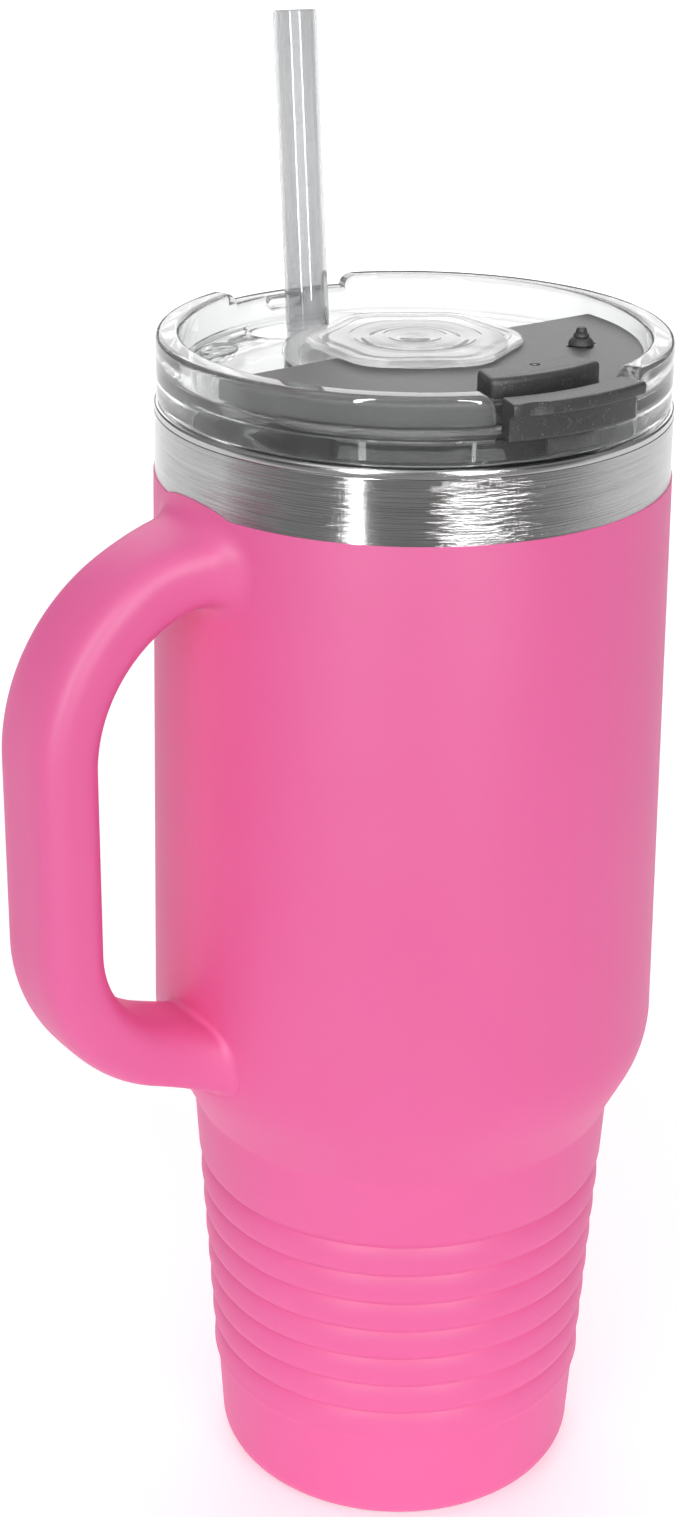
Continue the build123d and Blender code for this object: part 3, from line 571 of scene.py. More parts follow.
def outside(c, inset, start_deg, n):
    """Outside of the cup as (r, z), from the base rounding up to the border of the coat.

    The whole line is moved in by inset.
    """
    rb = crest_r(c, c.fillet) - c.step
    rows = [arc(rb - c.fillet, c.fillet, c.fillet - inset, start_deg, 0, 3 * n)]
    last = c.ring_top - c.rings * c.pitch
    low = np.array([crest_r(c, last) - c.step - inset, last])
    rows.append(np.linspace(rows[0][-1], low, n)[1:])
    for i in range(c.rings, 0, -1):
        z0 = c.ring_top - i * c.pitch
        zc, z1 = z0 + (1 - c.crest) * c.pitch, z0 + c.pitch
        rise, fall = zc - z0, z1 - zc
        if i < c.rings:
            low = np.array([crest_r(c, z0) - c.depth - inset, z0])
        top = np.array([crest_r(c, zc) - inset, zc])
        high = np.array([crest_r(c, z1) - c.depth - inset, z1])
        rows.append(hermite(low, top, (1.25 * rise, 0.55 * rise), (0.0, 1.1 * rise), 2 * n)[1:])
        rows.append(hermite(top, high, (0.0, 0.9 * fall), (-0.62 * fall, 1.0 * fall), 2 * n)[1:])
    out = np.array([crest_r(c, c.ring_top + 2.6) - inset, c.ring_top + 2.6])
    rows.append(hermite(high, out, (1.9, 1.5), (0.1, 1.8), 2 * n)[1:])
    cx, deg = drum_r(c, c.shoulder_z) - c.shoulder_r, degrees(c.shoulder_turn)
    bend = arc(cx, c.shoulder_z, c.shoulder_r - inset, -deg, 0, 6 * n)
    waist = np.array([c.waist_r - inset, c.waist_z])
    corner = rounded([rows[-1][-1], waist, bend[0]], [0, 3.0, 0], 7)
    rows.append(corner[1:-1])
    rows.append(bend)
    rows.append(np.array([[c.drum - inset, c.coat_top]]))
    return np.concatenate(rows)


def skin_profile(c):
    """Closed profile of the coat: outside, over a small round at the top, and back down inside."""
    edge = degrees(asin((c.fillet - 0.8) / c.fillet))
    inner = degrees(asin((c.fillet - 0.8) / (c.fillet - c.coat)))
    out, inn = outside(c, 0.0, -edge, 5), outside(c, c.coat, -inner, 2)
    top = rounded([out[-2], out[-1], inn[-1], inn[-2]], [0, 0.09, 0.02, 0], 4)[1:-1]
    return np.concatenate([out[:-1], top, inn[-2::-1]])


def shell_profile(c):
    """Closed profile of the steel shell with its turned-in foot and the bead that it stands on."""
    t = c.coat + c.shell
    out, inn = outside(c, c.coat, -86, 2), outside(c, t, -88, 2)
    top = c.lip_z - c.lip_h
    foot = [(c.foot, 0.0), (c.foot + 2.0, 0.0), (c.foot + 2.3, 0.1)]
    neck = [(c.lip_r, c.coat_top + 1.2), (c.lip_r, top - 0.12), (c.lip_r - 0.12, top)]
    back = [(c.lip_r - c.shell, top), (c.lip_r - c.shell, c.coat_top)]
    return np.concatenate([foot, out, neck, back, inn[::-1], [(c.foot, t)]])


def liner_profile(c):
    """Closed profile of the liner from the axis up to the rolled lip and back down outside."""
    skin = c.coat + c.shell
    low_r = crest_r(c, c.ring_top - c.rings * c.pitch) - c.depth - skin - 2.0 - c.liner
    mid_r = crest_r(c, c.ring_top) - c.depth - skin - 2.0 - c.liner
    wide = drum_r(c, c.shoulder_z + 12) - skin - 2.6 - c.liner
    z0, f, mid_z, wide_z = 9.0 + c.liner, 9.0, c.ring_top + 6, c.shoulder_z + 12
    sides = []
    for t in (0.0, c.liner):
        sides.append(np.concatenate([
            [(0, z0 - t)], arc(low_r - f, z0 + f, f + t, -90, 0, 14), [(mid_r + t, mid_z - 4)],
            hermite((mid_r + t, mid_z), (wide + t, wide_z), (1, 46), (0, 46), 20),
            [(c.mouth_r + t, c.lip_z - 17.5)]]))
    r, top = 0.75, c.lip_z - c.lip_h
    lip = np.concatenate([
        arc(c.mouth_r + r, c.lip_z - r, r, 180, 90, 7), arc(c.lip_r - r, c.lip_z - r, r, 90, 0, 7),
        [(c.lip_r, top + 0.22), (c.lip_r - 0.06, top + 0.08), (c.lip_r - 0.2, top + 0.02),
         (c.mouth_r + c.liner, top)]])
    return np.concatenate([sides[0], lip, sides[1][::-1]])


def cover_profile(c):
    """Pressed base cover, raised in the middle, with two shallow rolled rings."""
    r, z = c.foot - 0.05, c.coat + 0.05
    x = np.concatenate([np.linspace(0, 21.4, 60), np.linspace(21.8, r, 26)])
    lift = 1.0 / (1 + np.exp((x - 22.9) * 3.4))
    for at in (9.0, 16.0):
        lift = lift + 0.22 * np.exp(-((x - at) / 0.55) ** 2)
    low = np.stack([x, z + lift], -1)
    return np.concatenate([low, (low + (0, 0.45))[::-1]])


class TUMBLER_OT_cup(Operator):
    """Builds the coat, the steel shell, the liner and the base cover"""
    bl_idname = "tumbler.cup"
    bl_label = "Cup"

    def execute(self, context):
        c = read(context, "tumbler_cup")
        a = np.linspace(0, TURN, int(c.segments), endpoint=False)
        for name, profile, slot, kind, node, sharp in (
                ("coat_skin", skin_profile, "pink_powder", "coat", "powder_coat", 50),
                ("steel_shell", shell_profile, "brushed_steel", "steel", "outer_shell", SHARP),
                ("steel_liner", liner_profile, "brushed_steel", "lip", "inner_liner", SHARP),
                ("foot_cover", cover_profile, "plain_steel", "plain", "base_cover", SHARP)):
            piece(name, spun(profile(c), a), "cup", slot, paint(kind), node, sharp=sharp)
        for name, kind in (("vacuum_base", "plain"), ("getter_clip", "plain"),
                           ("vacuum_seal", "solder"), ("getter", "tablet")):
            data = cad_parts[name].data
            data.materials.clear()
            data.materials.append(paint(kind))
        return {"FINISHED"}


# ---- handle --------------------------------------------------------------------------------
def handle_line(h, root):
    """Centre line with its normals in the XZ plane, from inside the drum above to inside it below."""
    a1 = degrees(asin((root - (h.grip_x - h.upper)) / h.upper))
    up = arc(-h.grip_x + h.upper, h.top_z, h.upper, 90 + a1, 180, 60)
    grip = np.linspace((-h.grip_x, h.top_z), (-h.grip_x, h.low_z), 24)[1:-1]
    low = arc(-h.grip_x + h.lower, h.low_z, h.lower, 180, 270 - degrees(h.slope), 50)
    end = low[-1]
    arm = np.linspace(end, (-root, end[1] - (-end[0] - root) * tan(h.slope)), 24)[1:]
    line = np.concatenate([up, grip, low, arm])
    gap = np.linalg.norm(np.diff(line, axis=0), axis=1)
    s = np.concatenate([[0], np.cumsum(gap)])
    tangent = np.gradient(line, s, axis=0)
    tangent /= np.linalg.norm(tangent, axis=1)[:, None]
    return s, line, np.stack([tangent[:, 1], -tangent[:, 0]], -1)


def root_fillet(c, p, at, side, out, weld):
    """Quadratic from the drum's skin to the line p, with its corner where p leaves the drum.

    It lands weld away from that corner along out. Returns the index where it meets p, and its points.
    """
    root = p[at]
    skin = np.array([root[0], root[1], 0.0])
    skin /= np.linalg.norm(skin)
    out = out - skin * (out @ skin)
    out /= np.linalg.norm(out) + 1e-9
    land = root + out * weld
    land[:2] *= (drum_r(c, land[2]) + 0.02) / hypot(land[0], land[1])
    dist = np.linalg.norm(p - root, axis=1)
    ahead = np.arange(len(p))[dist >= weld * 1.15]
    ahead = ahead[ahead > at] if side > 0 else ahead[ahead < at]
    leave = ahead[0] if side > 0 else ahead[-1]
    t = np.linspace(0, 1, 14)[:, None]
    bow = (1 - t) ** 2 * land + 2 * t * (1 - t) * root + t**2 * p[leave]
    under = land.copy()
    under[:2] *= 1 - 0.55 / hypot(land[0], land[1])
    return leave, np.concatenate([[under], bow])


def handle_shape(h, c, around=112, along=220):
    """P(s, f) = line(s) + a(f) * normal(s) + b(f) * Y, a superellipse section carried along the line.

    Each long line ends in a quadratic fillet that lands on the drum, so both roots blend into it.
    """
    s, line, normal = handle_line(h, c.drum - 3.0)
    f = np.linspace(0, TURN, around, endpoint=False)
    power = 2 / h.soft
    a = h.thick / 2 * np.sign(np.sin(f)) * np.abs(np.sin(f)) ** power
    b = h.width / 2 * np.sign(np.cos(f)) * np.abs(np.cos(f)) ** power
    fine = np.linspace(0, s[-1], 1500)
    lx, lz = np.interp(fine, s, line[:, 0]), np.interp(fine, s, line[:, 1])
    nx, nz = np.interp(fine, s, normal[:, 0]), np.interp(fine, s, normal[:, 1])
    reach = np.minimum(fine, s[-1] - fine)
    grow = 1 + h.flare / h.width * np.clip(1 - (reach - 3.0) / h.flare_run, 0, 1) ** 2
    n = along + 2
    rows = np.empty((around, n, 3))
    for k in range(around):
        p = np.stack([lx + nx * a[k], np.full_like(lx, b[k]) * grow, lz + nz * a[k]], -1)
        inside = np.flatnonzero(np.hypot(p[:, 0], p[:, 1]) - drum_r(c, p[:, 2]) > 0)
        (i0, head), (i1, tail) = (
            root_fillet(c, p, at, side, np.array([nx[at] * a[k], b[k], nz[at] * a[k]]), weld)
            for at, weld, side in ((inside[0], h.upper_weld, 1), (inside[-1], h.lower_weld, -1)))
        mid = p[i0 + 1:i1]
        gap = np.concatenate([[0], np.cumsum(np.linalg.norm(np.diff(mid, axis=0), axis=1))])
        want = np.linspace(0, gap[-1], n - len(head) - len(tail))
        mid = np.stack([np.interp(want, gap, mid[:, j]) for j in range(3)], -1)
        rows[k] = np.concatenate([head, mid, tail[::-1]])
    caps = [[k * n for k in range(around)], [k * n + n - 1 for k in range(around)]]
    return rows.reshape(-1, 3), quads(around, n, True, False) + caps


class TUMBLER_OT_handle(Operator):
    """Builds the handle with both of its welded roots"""
    bl_idname = "tumbler.handle"
    bl_label = "Handle"

    def execute(self, context):
        h, c = read(context, "tumbler_handle"), read(context, "tumbler_cup")
        piece("handle", handle_shape(h, c), "cup", "pink_coat", paint("coat"), "handle_outer_half",
              "handle_inner_half", "handle_upper_weld", "handle_lower_weld", sharp=60)
        return {"FINISHED"}


# ---- lid -----------------------------------------------------------------------------------
def lid_angles(d):
    """Angles round the lid, close together where the rim steps down."""
    marks = [np.linspace(0, TURN, 360, endpoint=False)]
    reach = d.rim_end / d.lid_r
    for centre, half in ((-pi / 2, d.gap_half), (pi / 2, d.dip_half)):
        for side in (-1, 1):
            edge = centre + side * half
            step = np.concatenate([[-0.0022, -0.0004, 0.0004], np.linspace(0.002, reach * 1.1, 22)])
            marks.append(edge + side * step)
    a = np.unique(np.round(np.mod(np.concatenate(marks), TURN), 6))
    return a[np.concatenate([[True], np.diff(a) > 3e-4])]


def fall(away, radius, high, low):
    """Height beside an edge: low inside it, up a quarter round of the radius given, then high."""
    t = np.clip(away / radius, 0, 1)
    up = np.sqrt(np.clip(1 - (1 - t) ** 2, 0, 1))
    top = high - np.minimum(radius, high - low) * (1 - up)
    return np.where(away <= 0, low, top)


def lid_profiles(d, angles):
    """Closed profile (r, z) of the lid at each angle, its rim lowered at the tab and at the lips."""
    def away(centre, half):
        return (np.abs(np.mod(angles - centre + pi, TURN) - pi) - half) * d.lid_r
    gap, dip = away(-pi / 2, d.gap_half), away(pi / 2, d.dip_half)
    outer = np.minimum(fall(gap, d.rim_end, d.rim_z, d.gap_z), fall(dip, d.rim_end, d.rim_z, d.dip_z))
    inner = np.minimum(fall(gap, d.rim_end, d.rim_z, d.wall_z), fall(dip, d.rim_end, d.rim_z, d.dip_z))
    wall = d.rim_in + d.wall_t
    out = []
    for zo, zi in zip(outer, inner):
        ro = 1.3 if zo > d.gap_z + 2 else 0.35
        ri = 1.1 if zi > d.wall_z + 0.5 else 0.6
        rows = [
            rounded([(d.plug_in, d.plug_z), (d.plug_r - 0.8, d.plug_z), (d.plug_r, d.plug_z + 1.2),
                     (d.plug_r, d.groove_z), (d.plug_r - d.groove_d, d.groove_z),
                     (d.plug_r - d.groove_d, d.groove_z + d.groove_h),
                     (d.plug_r, d.groove_z + d.groove_h),
                     (d.plug_r, d.flange_z), (d.lid_r, d.flange_z), (d.lid_r, d.flange_z + 3)],
                    [0.3, 0.3, 0.3, 0.15, 0, 0, 0.15, 0.3, 0.8, 0], 4),
            arc(d.lid_r - ro, zo - ro, ro, 0, 90, 8),
            [(wall + 0.16, zo), (wall, zo), (wall, zi), (wall - 0.12, zi)],
            arc(d.rim_in + ri, zi - ri, ri, 90, 180, 8),
            rounded([(d.rim_in, zi - ri), (d.rim_in, d.deck_z), (0, d.deck_z)], [0, 0.7, 0], 4)[1:-1],
            [(30, d.deck_z), (0, d.deck_z), (0, d.deck_z - d.deck_t), (30, d.deck_z - d.deck_t)],
            rounded([(0, d.deck_z - d.deck_t), (d.plug_in, d.deck_z - d.deck_t),
                     (d.plug_in, d.plug_z + 1)], [0, 0.8, 0], 4)[1:]]
        out.append(np.concatenate(rows))
    return np.array(out)


VENT_UP, VENT_W, VENT_H = 2.8, 8.6, 2.0               # middle above the deck, and size
DISH_AZ, DISH_INSET, DISH_HALF = 131.6, 5.8, (3.4, 5.6, 0.8)
POST_HOLE_R = 5.1


def lid_cutters(d):
    """Everything sunk into the lid: slot with its ledge, vent, dish and the hole of the post."""
    z, low = d.deck_z, d.deck_z - d.deck_t
    inside = arc_outline(pi / 2, d.slot_half, d.slot_r, d.slot_w)
    slot = stacked(inside, [(0, low - 1), (0, z - 0.95), (-0.10, z - 0.85), (-0.75, z - 0.80),
                            (-0.85, z - 0.30), (-1.25, z), (-1.35, z + 1)])
    w, hgt = VENT_W / 2, VENT_H / 2
    t = np.linspace(0, pi, 12)
    side = np.concatenate([np.stack([w - hgt + hgt * np.sin(t), hgt * np.cos(t)], -1),
                           np.stack([-(w - hgt) - hgt * np.sin(t), -hgt * np.cos(t)], -1)])[::-1]
    pts, faces = stacked(side, [(-0.25, d.rim_in - 1), (-0.2, d.rim_in), (0, d.rim_in + 0.3),
                                (0, d.rim_in + 2.3), (0.3, d.rim_in + 2.6)])
    vent = np.stack([pts[:, 0], pts[:, 2], z + VENT_UP + pts[:, 1]], -1), faces
    az, r = radians(DISH_AZ), d.rim_in - DISH_INSET
    dish, dish_faces = sphere((0, 0, 0), DISH_HALF, 24)
    c, s = cos(az), sin(az)
    dish = np.stack([dish[:, 0] * c - dish[:, 1] * s + r * c, dish[:, 0] * s + dish[:, 1] * c + r * s,
                     dish[:, 2] + z + 0.01], -1)
    ang = np.linspace(0, TURN, 64, endpoint=False)
    ring = POST_HOLE_R * np.stack([np.cos(ang), np.sin(ang)], -1)
    hole = stacked(ring, [(0, low - 1), (0, z + 1)])
    return joined(slot, vent, (dish, dish_faces), hole)


def hexagon(corner, fillet, angles, first=radians(30)):
    """Radius of a hexagon with rounded corners at each angle; corner is its corner radius."""
    flat = corner * cos(pi / 6)
    phi = np.abs(np.mod(angles - first + pi / 6, pi / 3) - pi / 6)
    centre = (flat - fillet) / cos(pi / 6)
    touch = atan2(fillet / 2, centre + fillet * cos(pi / 6))
    bow = centre * np.cos(phi) + np.sqrt(fillet**2 - (centre * np.sin(phi)) ** 2)
    return np.where(phi < touch, bow, flat / np.cos(pi / 6 - phi))


HUB_FILLET, HUB_EDGE = 9.0, 0.8                       # corners of the hexagon, and its top edge
# sunk and raised lines of the top as (radius, height, half width)
HUB_RIPPLES = ((12.2, 0.14, 0.5), (9.2, -0.30, 1.0), (5.6, 0.12, 0.6), (0.0, -0.34, 2.6))


def hub_shape(d):
    """r(a, k) = mix of a circle and a rounded hexagon, z(k): the clear centre cap as a polar grid."""
    a = np.linspace(0, TURN, 240, endpoint=False)
    six = hexagon(d.hub_r, HUB_FILLET, a)
    z, e = d.deck_z, HUB_EDGE
    low = [(0, z - 3.6), (4.4, z - 3.6), (4.8, z - 3.4), (5.9, z - 2.15), (5.0, z - 2.1), (5.0, z),
           (22.25, z), (22.25, z + 2.1), (25.0, z + 2.1), (25.2, z + 2.3), (25.2, z + 2.8),
           (25.05, z + 2.95), (17.9, z + 2.95), (17.8, z + 3.05), (17.8, z + 4.35)]
    rows = [(np.full_like(a, r), h) for r, h in low]
    rows += [(six - 0.2, z + 4.35), (six, z + 4.5)]
    rows += [(six - e + e * cos(t), d.hub_z - e + e * sin(t)) for t in np.linspace(0, pi / 2, 9)]
    border = [(2.2, 0), (2.45, -0.30), (2.9, -0.42), (3.3, -0.42), (3.7, -0.15), (4.2, -0.12),
              (4.9, -0.12)]
    rows += [(six - off, d.hub_z + dz) for off, dz in border]
    for r in np.linspace(15.0, 0.0, 46):
        blend = np.clip((r - 11.5) / 3.5, 0, 1)
        ripple = sum(lift * np.exp(-((r - at) / wide) ** 2) for at, lift, wide in HUB_RIPPLES)
        rows.append((r * (1 + blend * (six / six.max() - 1)), d.hub_z - 0.12 + ripple))
    grid = np.array([np.stack([r, np.full_like(a, h)], -1) for r, h in rows])
    return spun(np.swapaxes(grid, 0, 1), a)


LIP_R, LIP_PITCH, LIPS = 46.0, 1.1, 3                  # lips of the gasket


def gasket_profile(d):
    """Ring in the groove with three soft lips."""
    r0, r1 = d.plug_r - d.groove_d, d.plug_r - 0.1
    z0, z1 = d.groove_z + 0.05, d.groove_z + d.groove_h - 0.05
    pts = [(r0, z0)]
    for i in range(LIPS):
        z = z0 + 0.45 + i * LIP_PITCH
        pts += [(r1, z - 0.32), (LIP_R - 0.1, z + 0.02), (LIP_R, z + 0.14), (LIP_R, z + 0.28),
                (LIP_R - 0.1, z + 0.36), (r1, z + 0.38)]
    return np.array(pts + [(r1, z1), (r0, z1)])


class TUMBLER_OT_lid(Operator):
    """Builds the clear lid, the hub and the gasket"""
    bl_idname = "tumbler.lid"
    bl_label = "Lid"

    def execute(self, context):
        d = read(context, "tumbler_lid")
        a = lid_angles(d)
        body = new_object("lid", *spun(lid_profiles(d, a), a))
        cut(body, lid_cutters(d), 28)
        piece("clear_lid", body, "lid", "clear_lid", paint("lid"), "lid_body")
        piece("clear_hub", hub_shape(d), "lid", "clear_lid", paint("hub"), "hub_cap", sharp=40)
        ring = np.linspace(0, TURN, 240, endpoint=False)
        piece("gasket_ring", spun(gasket_profile(d), ring), "lid", "silicone", paint("gasket"),
              "lid_gasket")
        return {"FINISHED"}


# ---- slider, seal and tab ------------------------------------------------------------------
def slider_shape(v):
    """Closed channel section carried round an arc, its hollow closed in the last degree at each end."""
    a0, a1 = v.az - v.half, v.az + v.half
    ends = np.array([0, 0.0004, 0.002, 0.006, 0.012, 0.018, 0.0195, 0.021])
    angles = np.concatenate([a0 + ends, np.linspace(a0 + 0.03, a1 - 0.03, 190), (a1 - ends)[::-1]])
    z0, zt, ceil = v.low_z, v.top_z, v.top_z - v.top_t
    lip_r = v.in_r - 3.0
    out = []
    for a in angles:
        near = min(a - a0, a1 - a)
        top = ceil if near > 0.0205 else z0 + 0.02
        soft = 0.45 * (1 - sqrt(max(0.0, 1 - (1 - min(1, near / 0.012)) ** 2)))
        rows = [
            rounded([(v.out_r - v.skirt, z0), (v.out_r, z0), (v.out_r, zt), (v.out_r - 1.4, zt),
                     (v.top_in + 0.8, zt), (v.top_in, zt), (v.top_in, zt - v.top_lip),
                     (v.in_r + 0.1, zt - v.top_lip), (v.in_r + 0.1, z0 + 1.4), (lip_r, z0 + 1.4),
                     (lip_r, z0), (v.in_r + v.skirt, z0)],
                    [0, 0.15, 0.65, 0, 0, 0.2, 0.1, 0.1, 0.2, 0.3, 0.2, 0], 5),
            [(v.in_r + v.skirt, top), (v.out_r - v.skirt, top)]]
        loop = np.concatenate(rows)
        loop = inset_loop(loop, soft) if soft > 1e-3 and top < ceil else loop
        out.append(loop)
    return spun(np.array(out), angles, closed=False)


CROSS_LONG, CROSS_WIDE, CROSS_TURN = 3.25, 0.6, 30    # half sizes of an arm, and degrees


def cross_cutter(v):
    """Cross-shaped hole for the tail of the seal."""
    at = np.array([v.barb_r * cos(v.barb_az), v.barb_r * sin(v.barb_az), v.top_z])
    spin = v.barb_az + radians(CROSS_TURN)
    w, h = CROSS_LONG, CROSS_WIDE
    plus = [(w, -h), (w, h), (h, h), (h, w), (-h, w), (-h, h),
            (-w, h), (-w, -h), (-h, -h), (-h, -w), (h, -w), (h, -h)]
    c, s = cos(spin), sin(spin)
    flat = np.array([(x * c - y * s + at[0], x * s + y * c + at[1]) for x, y in plus])
    return stacked(rounded(flat, 0.2, 3), [(0.0, v.top_z - 3), (0.0, v.top_z + 1)])


GRIP_HOLLOW = 22.4                                    # radius of the inner side
GRIP_CORNERS = [2.6] + [0] * 32 + [2.6, 2.2] + [0] * 28 + [2.2]


def grip_shape(v):
    """Kidney outline between an outer arc and a hollowed inner side, carried up to a rounded edge."""
    b, mid = v.block_half, -pi / 2
    outer = np.linspace(mid - b, mid + b, 34)
    far = np.stack([v.block_out * np.cos(outer), v.block_out * np.sin(outer)], -1)
    centre = v.block_in + 1.2 - GRIP_HOLLOW
    lim = asin(v.block_in * sin(b) / GRIP_HOLLOW)
    inner = np.linspace(mid + lim, mid - lim, 30)
    near = np.stack([GRIP_HOLLOW * np.cos(inner), GRIP_HOLLOW * np.sin(inner) - centre], -1)
    loop = np.concatenate([far, near])
    ends = [loop[j] for j, r in enumerate(GRIP_CORNERS) if r]
    kept = [(p, r) for p, r in zip(loop, GRIP_CORNERS)
            if r or all(np.linalg.norm(p - end) > 3.1 for end in ends)]
    outline = rounded([p for p, _ in kept], [r for _, r in kept], 8)
    z0, z1, e = v.top_z - 0.2, v.block_z, 1.1
    levels = [(0, z0), (0, z0 + 0.35), (0.12, z0 + 0.5), (0.12, z0 + 1.4)]
    levels += [(0.12 + e * (1 - cos(t)), z1 - e + e * sin(t)) for t in np.linspace(0, pi / 2, 9)]
    return stacked(outline, levels)


PAD_HALF, PAD_W = radians(21.2), 11.6                 # half angle and width of the seal pad


def pad_and_tail(v):
    """Seal pad under the slider and its ribbed tail, a profile turned about its own axis."""
    out_r, ceil = v.out_r - v.skirt - 0.6, v.top_z - v.top_t
    pad = stacked(arc_outline(v.barb_az, PAD_HALF, out_r - PAD_W / 2, PAD_W),
                  [(0.3, v.low_z), (0, v.low_z + 0.3), (0, ceil - 0.3), (0.3, ceil - 0.03)])
    z, top = v.top_z, v.barb_z
    tail = [(0, z - 1.7), (1.35, z - 1.7), (1.35, z + 0.02), (2.4, z + 0.08), (2.5, z + 0.3),
            (2.25, z + 0.9), (1.75, z + 1.45), (1.45, z + 1.6), (1.55, z + 1.8), (1.3, z + 2.35),
            (1.05, z + 2.45), (1.1, z + 2.7), (0.92, top - 0.2), (0.75, top), (0, top)]
    ang = np.linspace(0, TURN, 48, endpoint=False)
    at = (v.barb_r * cos(v.barb_az), v.barb_r * sin(v.barb_az))
    return pad, spun(tail, ang, place=at)


TAB_END_R = 0.28
SCOOP_R, SCOOP_OUT, SCOOP_DOWN, SCOOP_AZ = 6.6, 5.4, 1.2, radians(4.5)
KEY_HALF, KEY_THICK, KEY_AT, KEY_DEPTH = 5.5, 0.9, 47.7, 3.4


def tab_shape(v):
    """Closed section with an overhanging lip carried round an arc, rounded over at both ends."""
    zl = v.tab_z - 2.2
    loop = rounded([(v.tab_in, v.tab_low), (v.tab_out - 0.4, v.tab_low), (v.tab_out, v.tab_low + 0.5),
                    (v.tab_out, zl - 0.4), (v.tab_lip, zl), (v.tab_lip, v.tab_z), (v.tab_in, v.tab_z)],
                   [0.45, 0.45, 0.45, 0.7, 0.45, 0.9, 0.6], 6)
    a0, a1 = -pi / 2 - v.tab_half, -pi / 2 + v.tab_half
    t = np.linspace(0, pi / 2, 7)
    near, inset = TAB_END_R * (1 - np.cos(t)) / v.tab_out, TAB_END_R * (1 - np.sin(t))
    between = np.linspace(a0 + near[-1], a1 - near[-1], 72)[1:-1]
    angles = np.concatenate([a0 + near, between, (a1 - near)[::-1]])
    insets = np.concatenate([inset, np.zeros(70), inset[::-1]])
    return spun(np.array([inset_loop(loop, i) for i in insets]), angles, closed=False)


class TUMBLER_OT_cover(Operator):
    """Builds the slider with its grip, the seal with its tail, and the thumb tab"""
    bl_idname = "tumbler.cover"
    bl_label = "Slider and tab"

    def execute(self, context):
        v = read(context, "tumbler_cover")
        plate = cut(new_object("plate", *slider_shape(v)), cross_cutter(v), 14)
        piece("slider_plate", plate, "cover", "dark_plastic", paint("plate"), "slider")
        z = v.block_z
        gate = [(0.55, z - 0.22), (0.95, z - 0.22), (1.05, z + 0.4), (0.45, z + 0.4)]
        ring = spun(gate, np.linspace(0, TURN, 40, endpoint=False), place=(0.4, 6.2 - v.block_out))
        grip = cut(new_object("grip", *grip_shape(v)), ring)
        piece("slider_grip", grip, "cover", "dark_plastic", paint("tab"), "slider")
        pad, tail = pad_and_tail(v)
        piece("seal_pad", pad, "cover", "dark_silicone", paint("seal"), "slot_seal")
        piece("seal_tail", tail, "cover", "dark_silicone", paint("seal"), "slot_seal")
        az, out = -pi / 2 - v.tab_half + SCOOP_AZ, v.tab_lip + SCOOP_OUT
        scoop = sphere((out * cos(az), out * sin(az), v.tab_z - SCOOP_DOWN), (SCOOP_R,) * 3, 60)
        tab = cut(new_object("tab", *tab_shape(v)), scoop)
        piece("thumb_rest", tab, "lid", "dark_plastic", paint("tab"), "thumb_tab")
        w, t, low = KEY_HALF, KEY_THICK, v.tab_low
        key = rounded([(w, t), (-w, t), (-w, -t), (w, -t)], 0.4, 4) + (0, -KEY_AT)
        levels = [(0.3, low - KEY_DEPTH), (0, low - KEY_DEPTH + 0.3), (0, low + 0.3)]
        piece("tab_key", stacked(key, levels), "lid", "dark_plastic", paint("tab"), "thumb_tab")
        return {"FINISHED"}


# ---- straw ---------------------------------------------------------------------------------
def straw_shape(w):
    """P = start + t * axis + r * (cos a * u + sin a * v): a wall section turned about the axis."""
    axis = np.array([w.lean_x, w.lean_y, 1.0])
    unit = axis / np.linalg.norm(axis)
    start = np.array([w.at_x, w.at_y, w.at_z]) + (w.low - w.at_z) * axis
    length = (w.top - w.low) / unit[2]
    r, q, e = w.radius, w.radius - w.wall, 0.18
    along = np.linspace(e, length - e, 40)
    outside = np.stack([np.full_like(along, r), along], -1)
    bore = np.stack([np.full_like(along, q), along[::-1]], -1)
    wall = np.concatenate([[(r - e, 0)], outside, [(r - e, length), (q + e, length)], bore,
                           [(q + e, 0)]])
    a = np.linspace(0, TURN, 96, endpoint=False)
    u = np.cross(unit, (0, 1, 0))
    u /= np.linalg.norm(u)
    v = np.cross(unit, u)
    ring = np.cos(a)[:, None] * u + np.sin(a)[:, None] * v
    pts = start + wall[None, :, 1, None] * unit + wall[None, :, 0, None] * ring[:, None, :]
    return pts.reshape(-1, 3), quads(len(a), len(wall), True, True)


class TUMBLER_OT_straw(Operator):
    """Builds the clear straw"""
    bl_idname = "tumbler.straw"
    bl_label = "Straw"

    def execute(self, context):
        w = read(context, "tumbler_straw")
        piece("clear_straw", straw_shape(w), "straw", "clear_straw", paint("straw"), "straw")
        return {"FINISHED"}


# ---- stage ---------------------------------------------------------------------------------
HEADING, PITCH, ROLL = 0.6013378, 0.403646, 0.00894697
CAMERA_AT = (-0.295629, -0.406898, 0.375317)
LENS = 64.10
FLOOR_R, FLOOR_SIDES = 9000, 96
# room light: everywhere, added above, added away from the camera's side, taken off straight beyond
ROOM_LOW, ROOM_ABOVE, ROOM_SIDES, ROOM_BEYOND = 0.04, 0.12, 0.26, 0.12
# soft boxes as (azimuth in degrees, distance, height, width, length, power, height aimed at,
# seen by dull surfaces, seen in reflections)
LIGHTS = {
    "key": (-165, 1.1, 2.1, 1.4, 1.0, 4.5, 0.15, True, True),
    "strip_left": (-149, 1.3, 0.85, 0.10, 1.7, 26, 0.15, False, True),
    "strip_right": (-98, 1.3, 0.85, 0.06, 1.7, 27, 0.15, False, True),
    "fill": (-122, 1.6, 0.8, 2.8, 1.1, 28, 0.15, True, False),
    "back": (55.5, 1.7, 1.1, 2.0, 1.1, 16, 0.245, True, True),
    "top": (60, 0.5, 2.2, 1.8, 1.2, 5, 0.15, True, True),
}


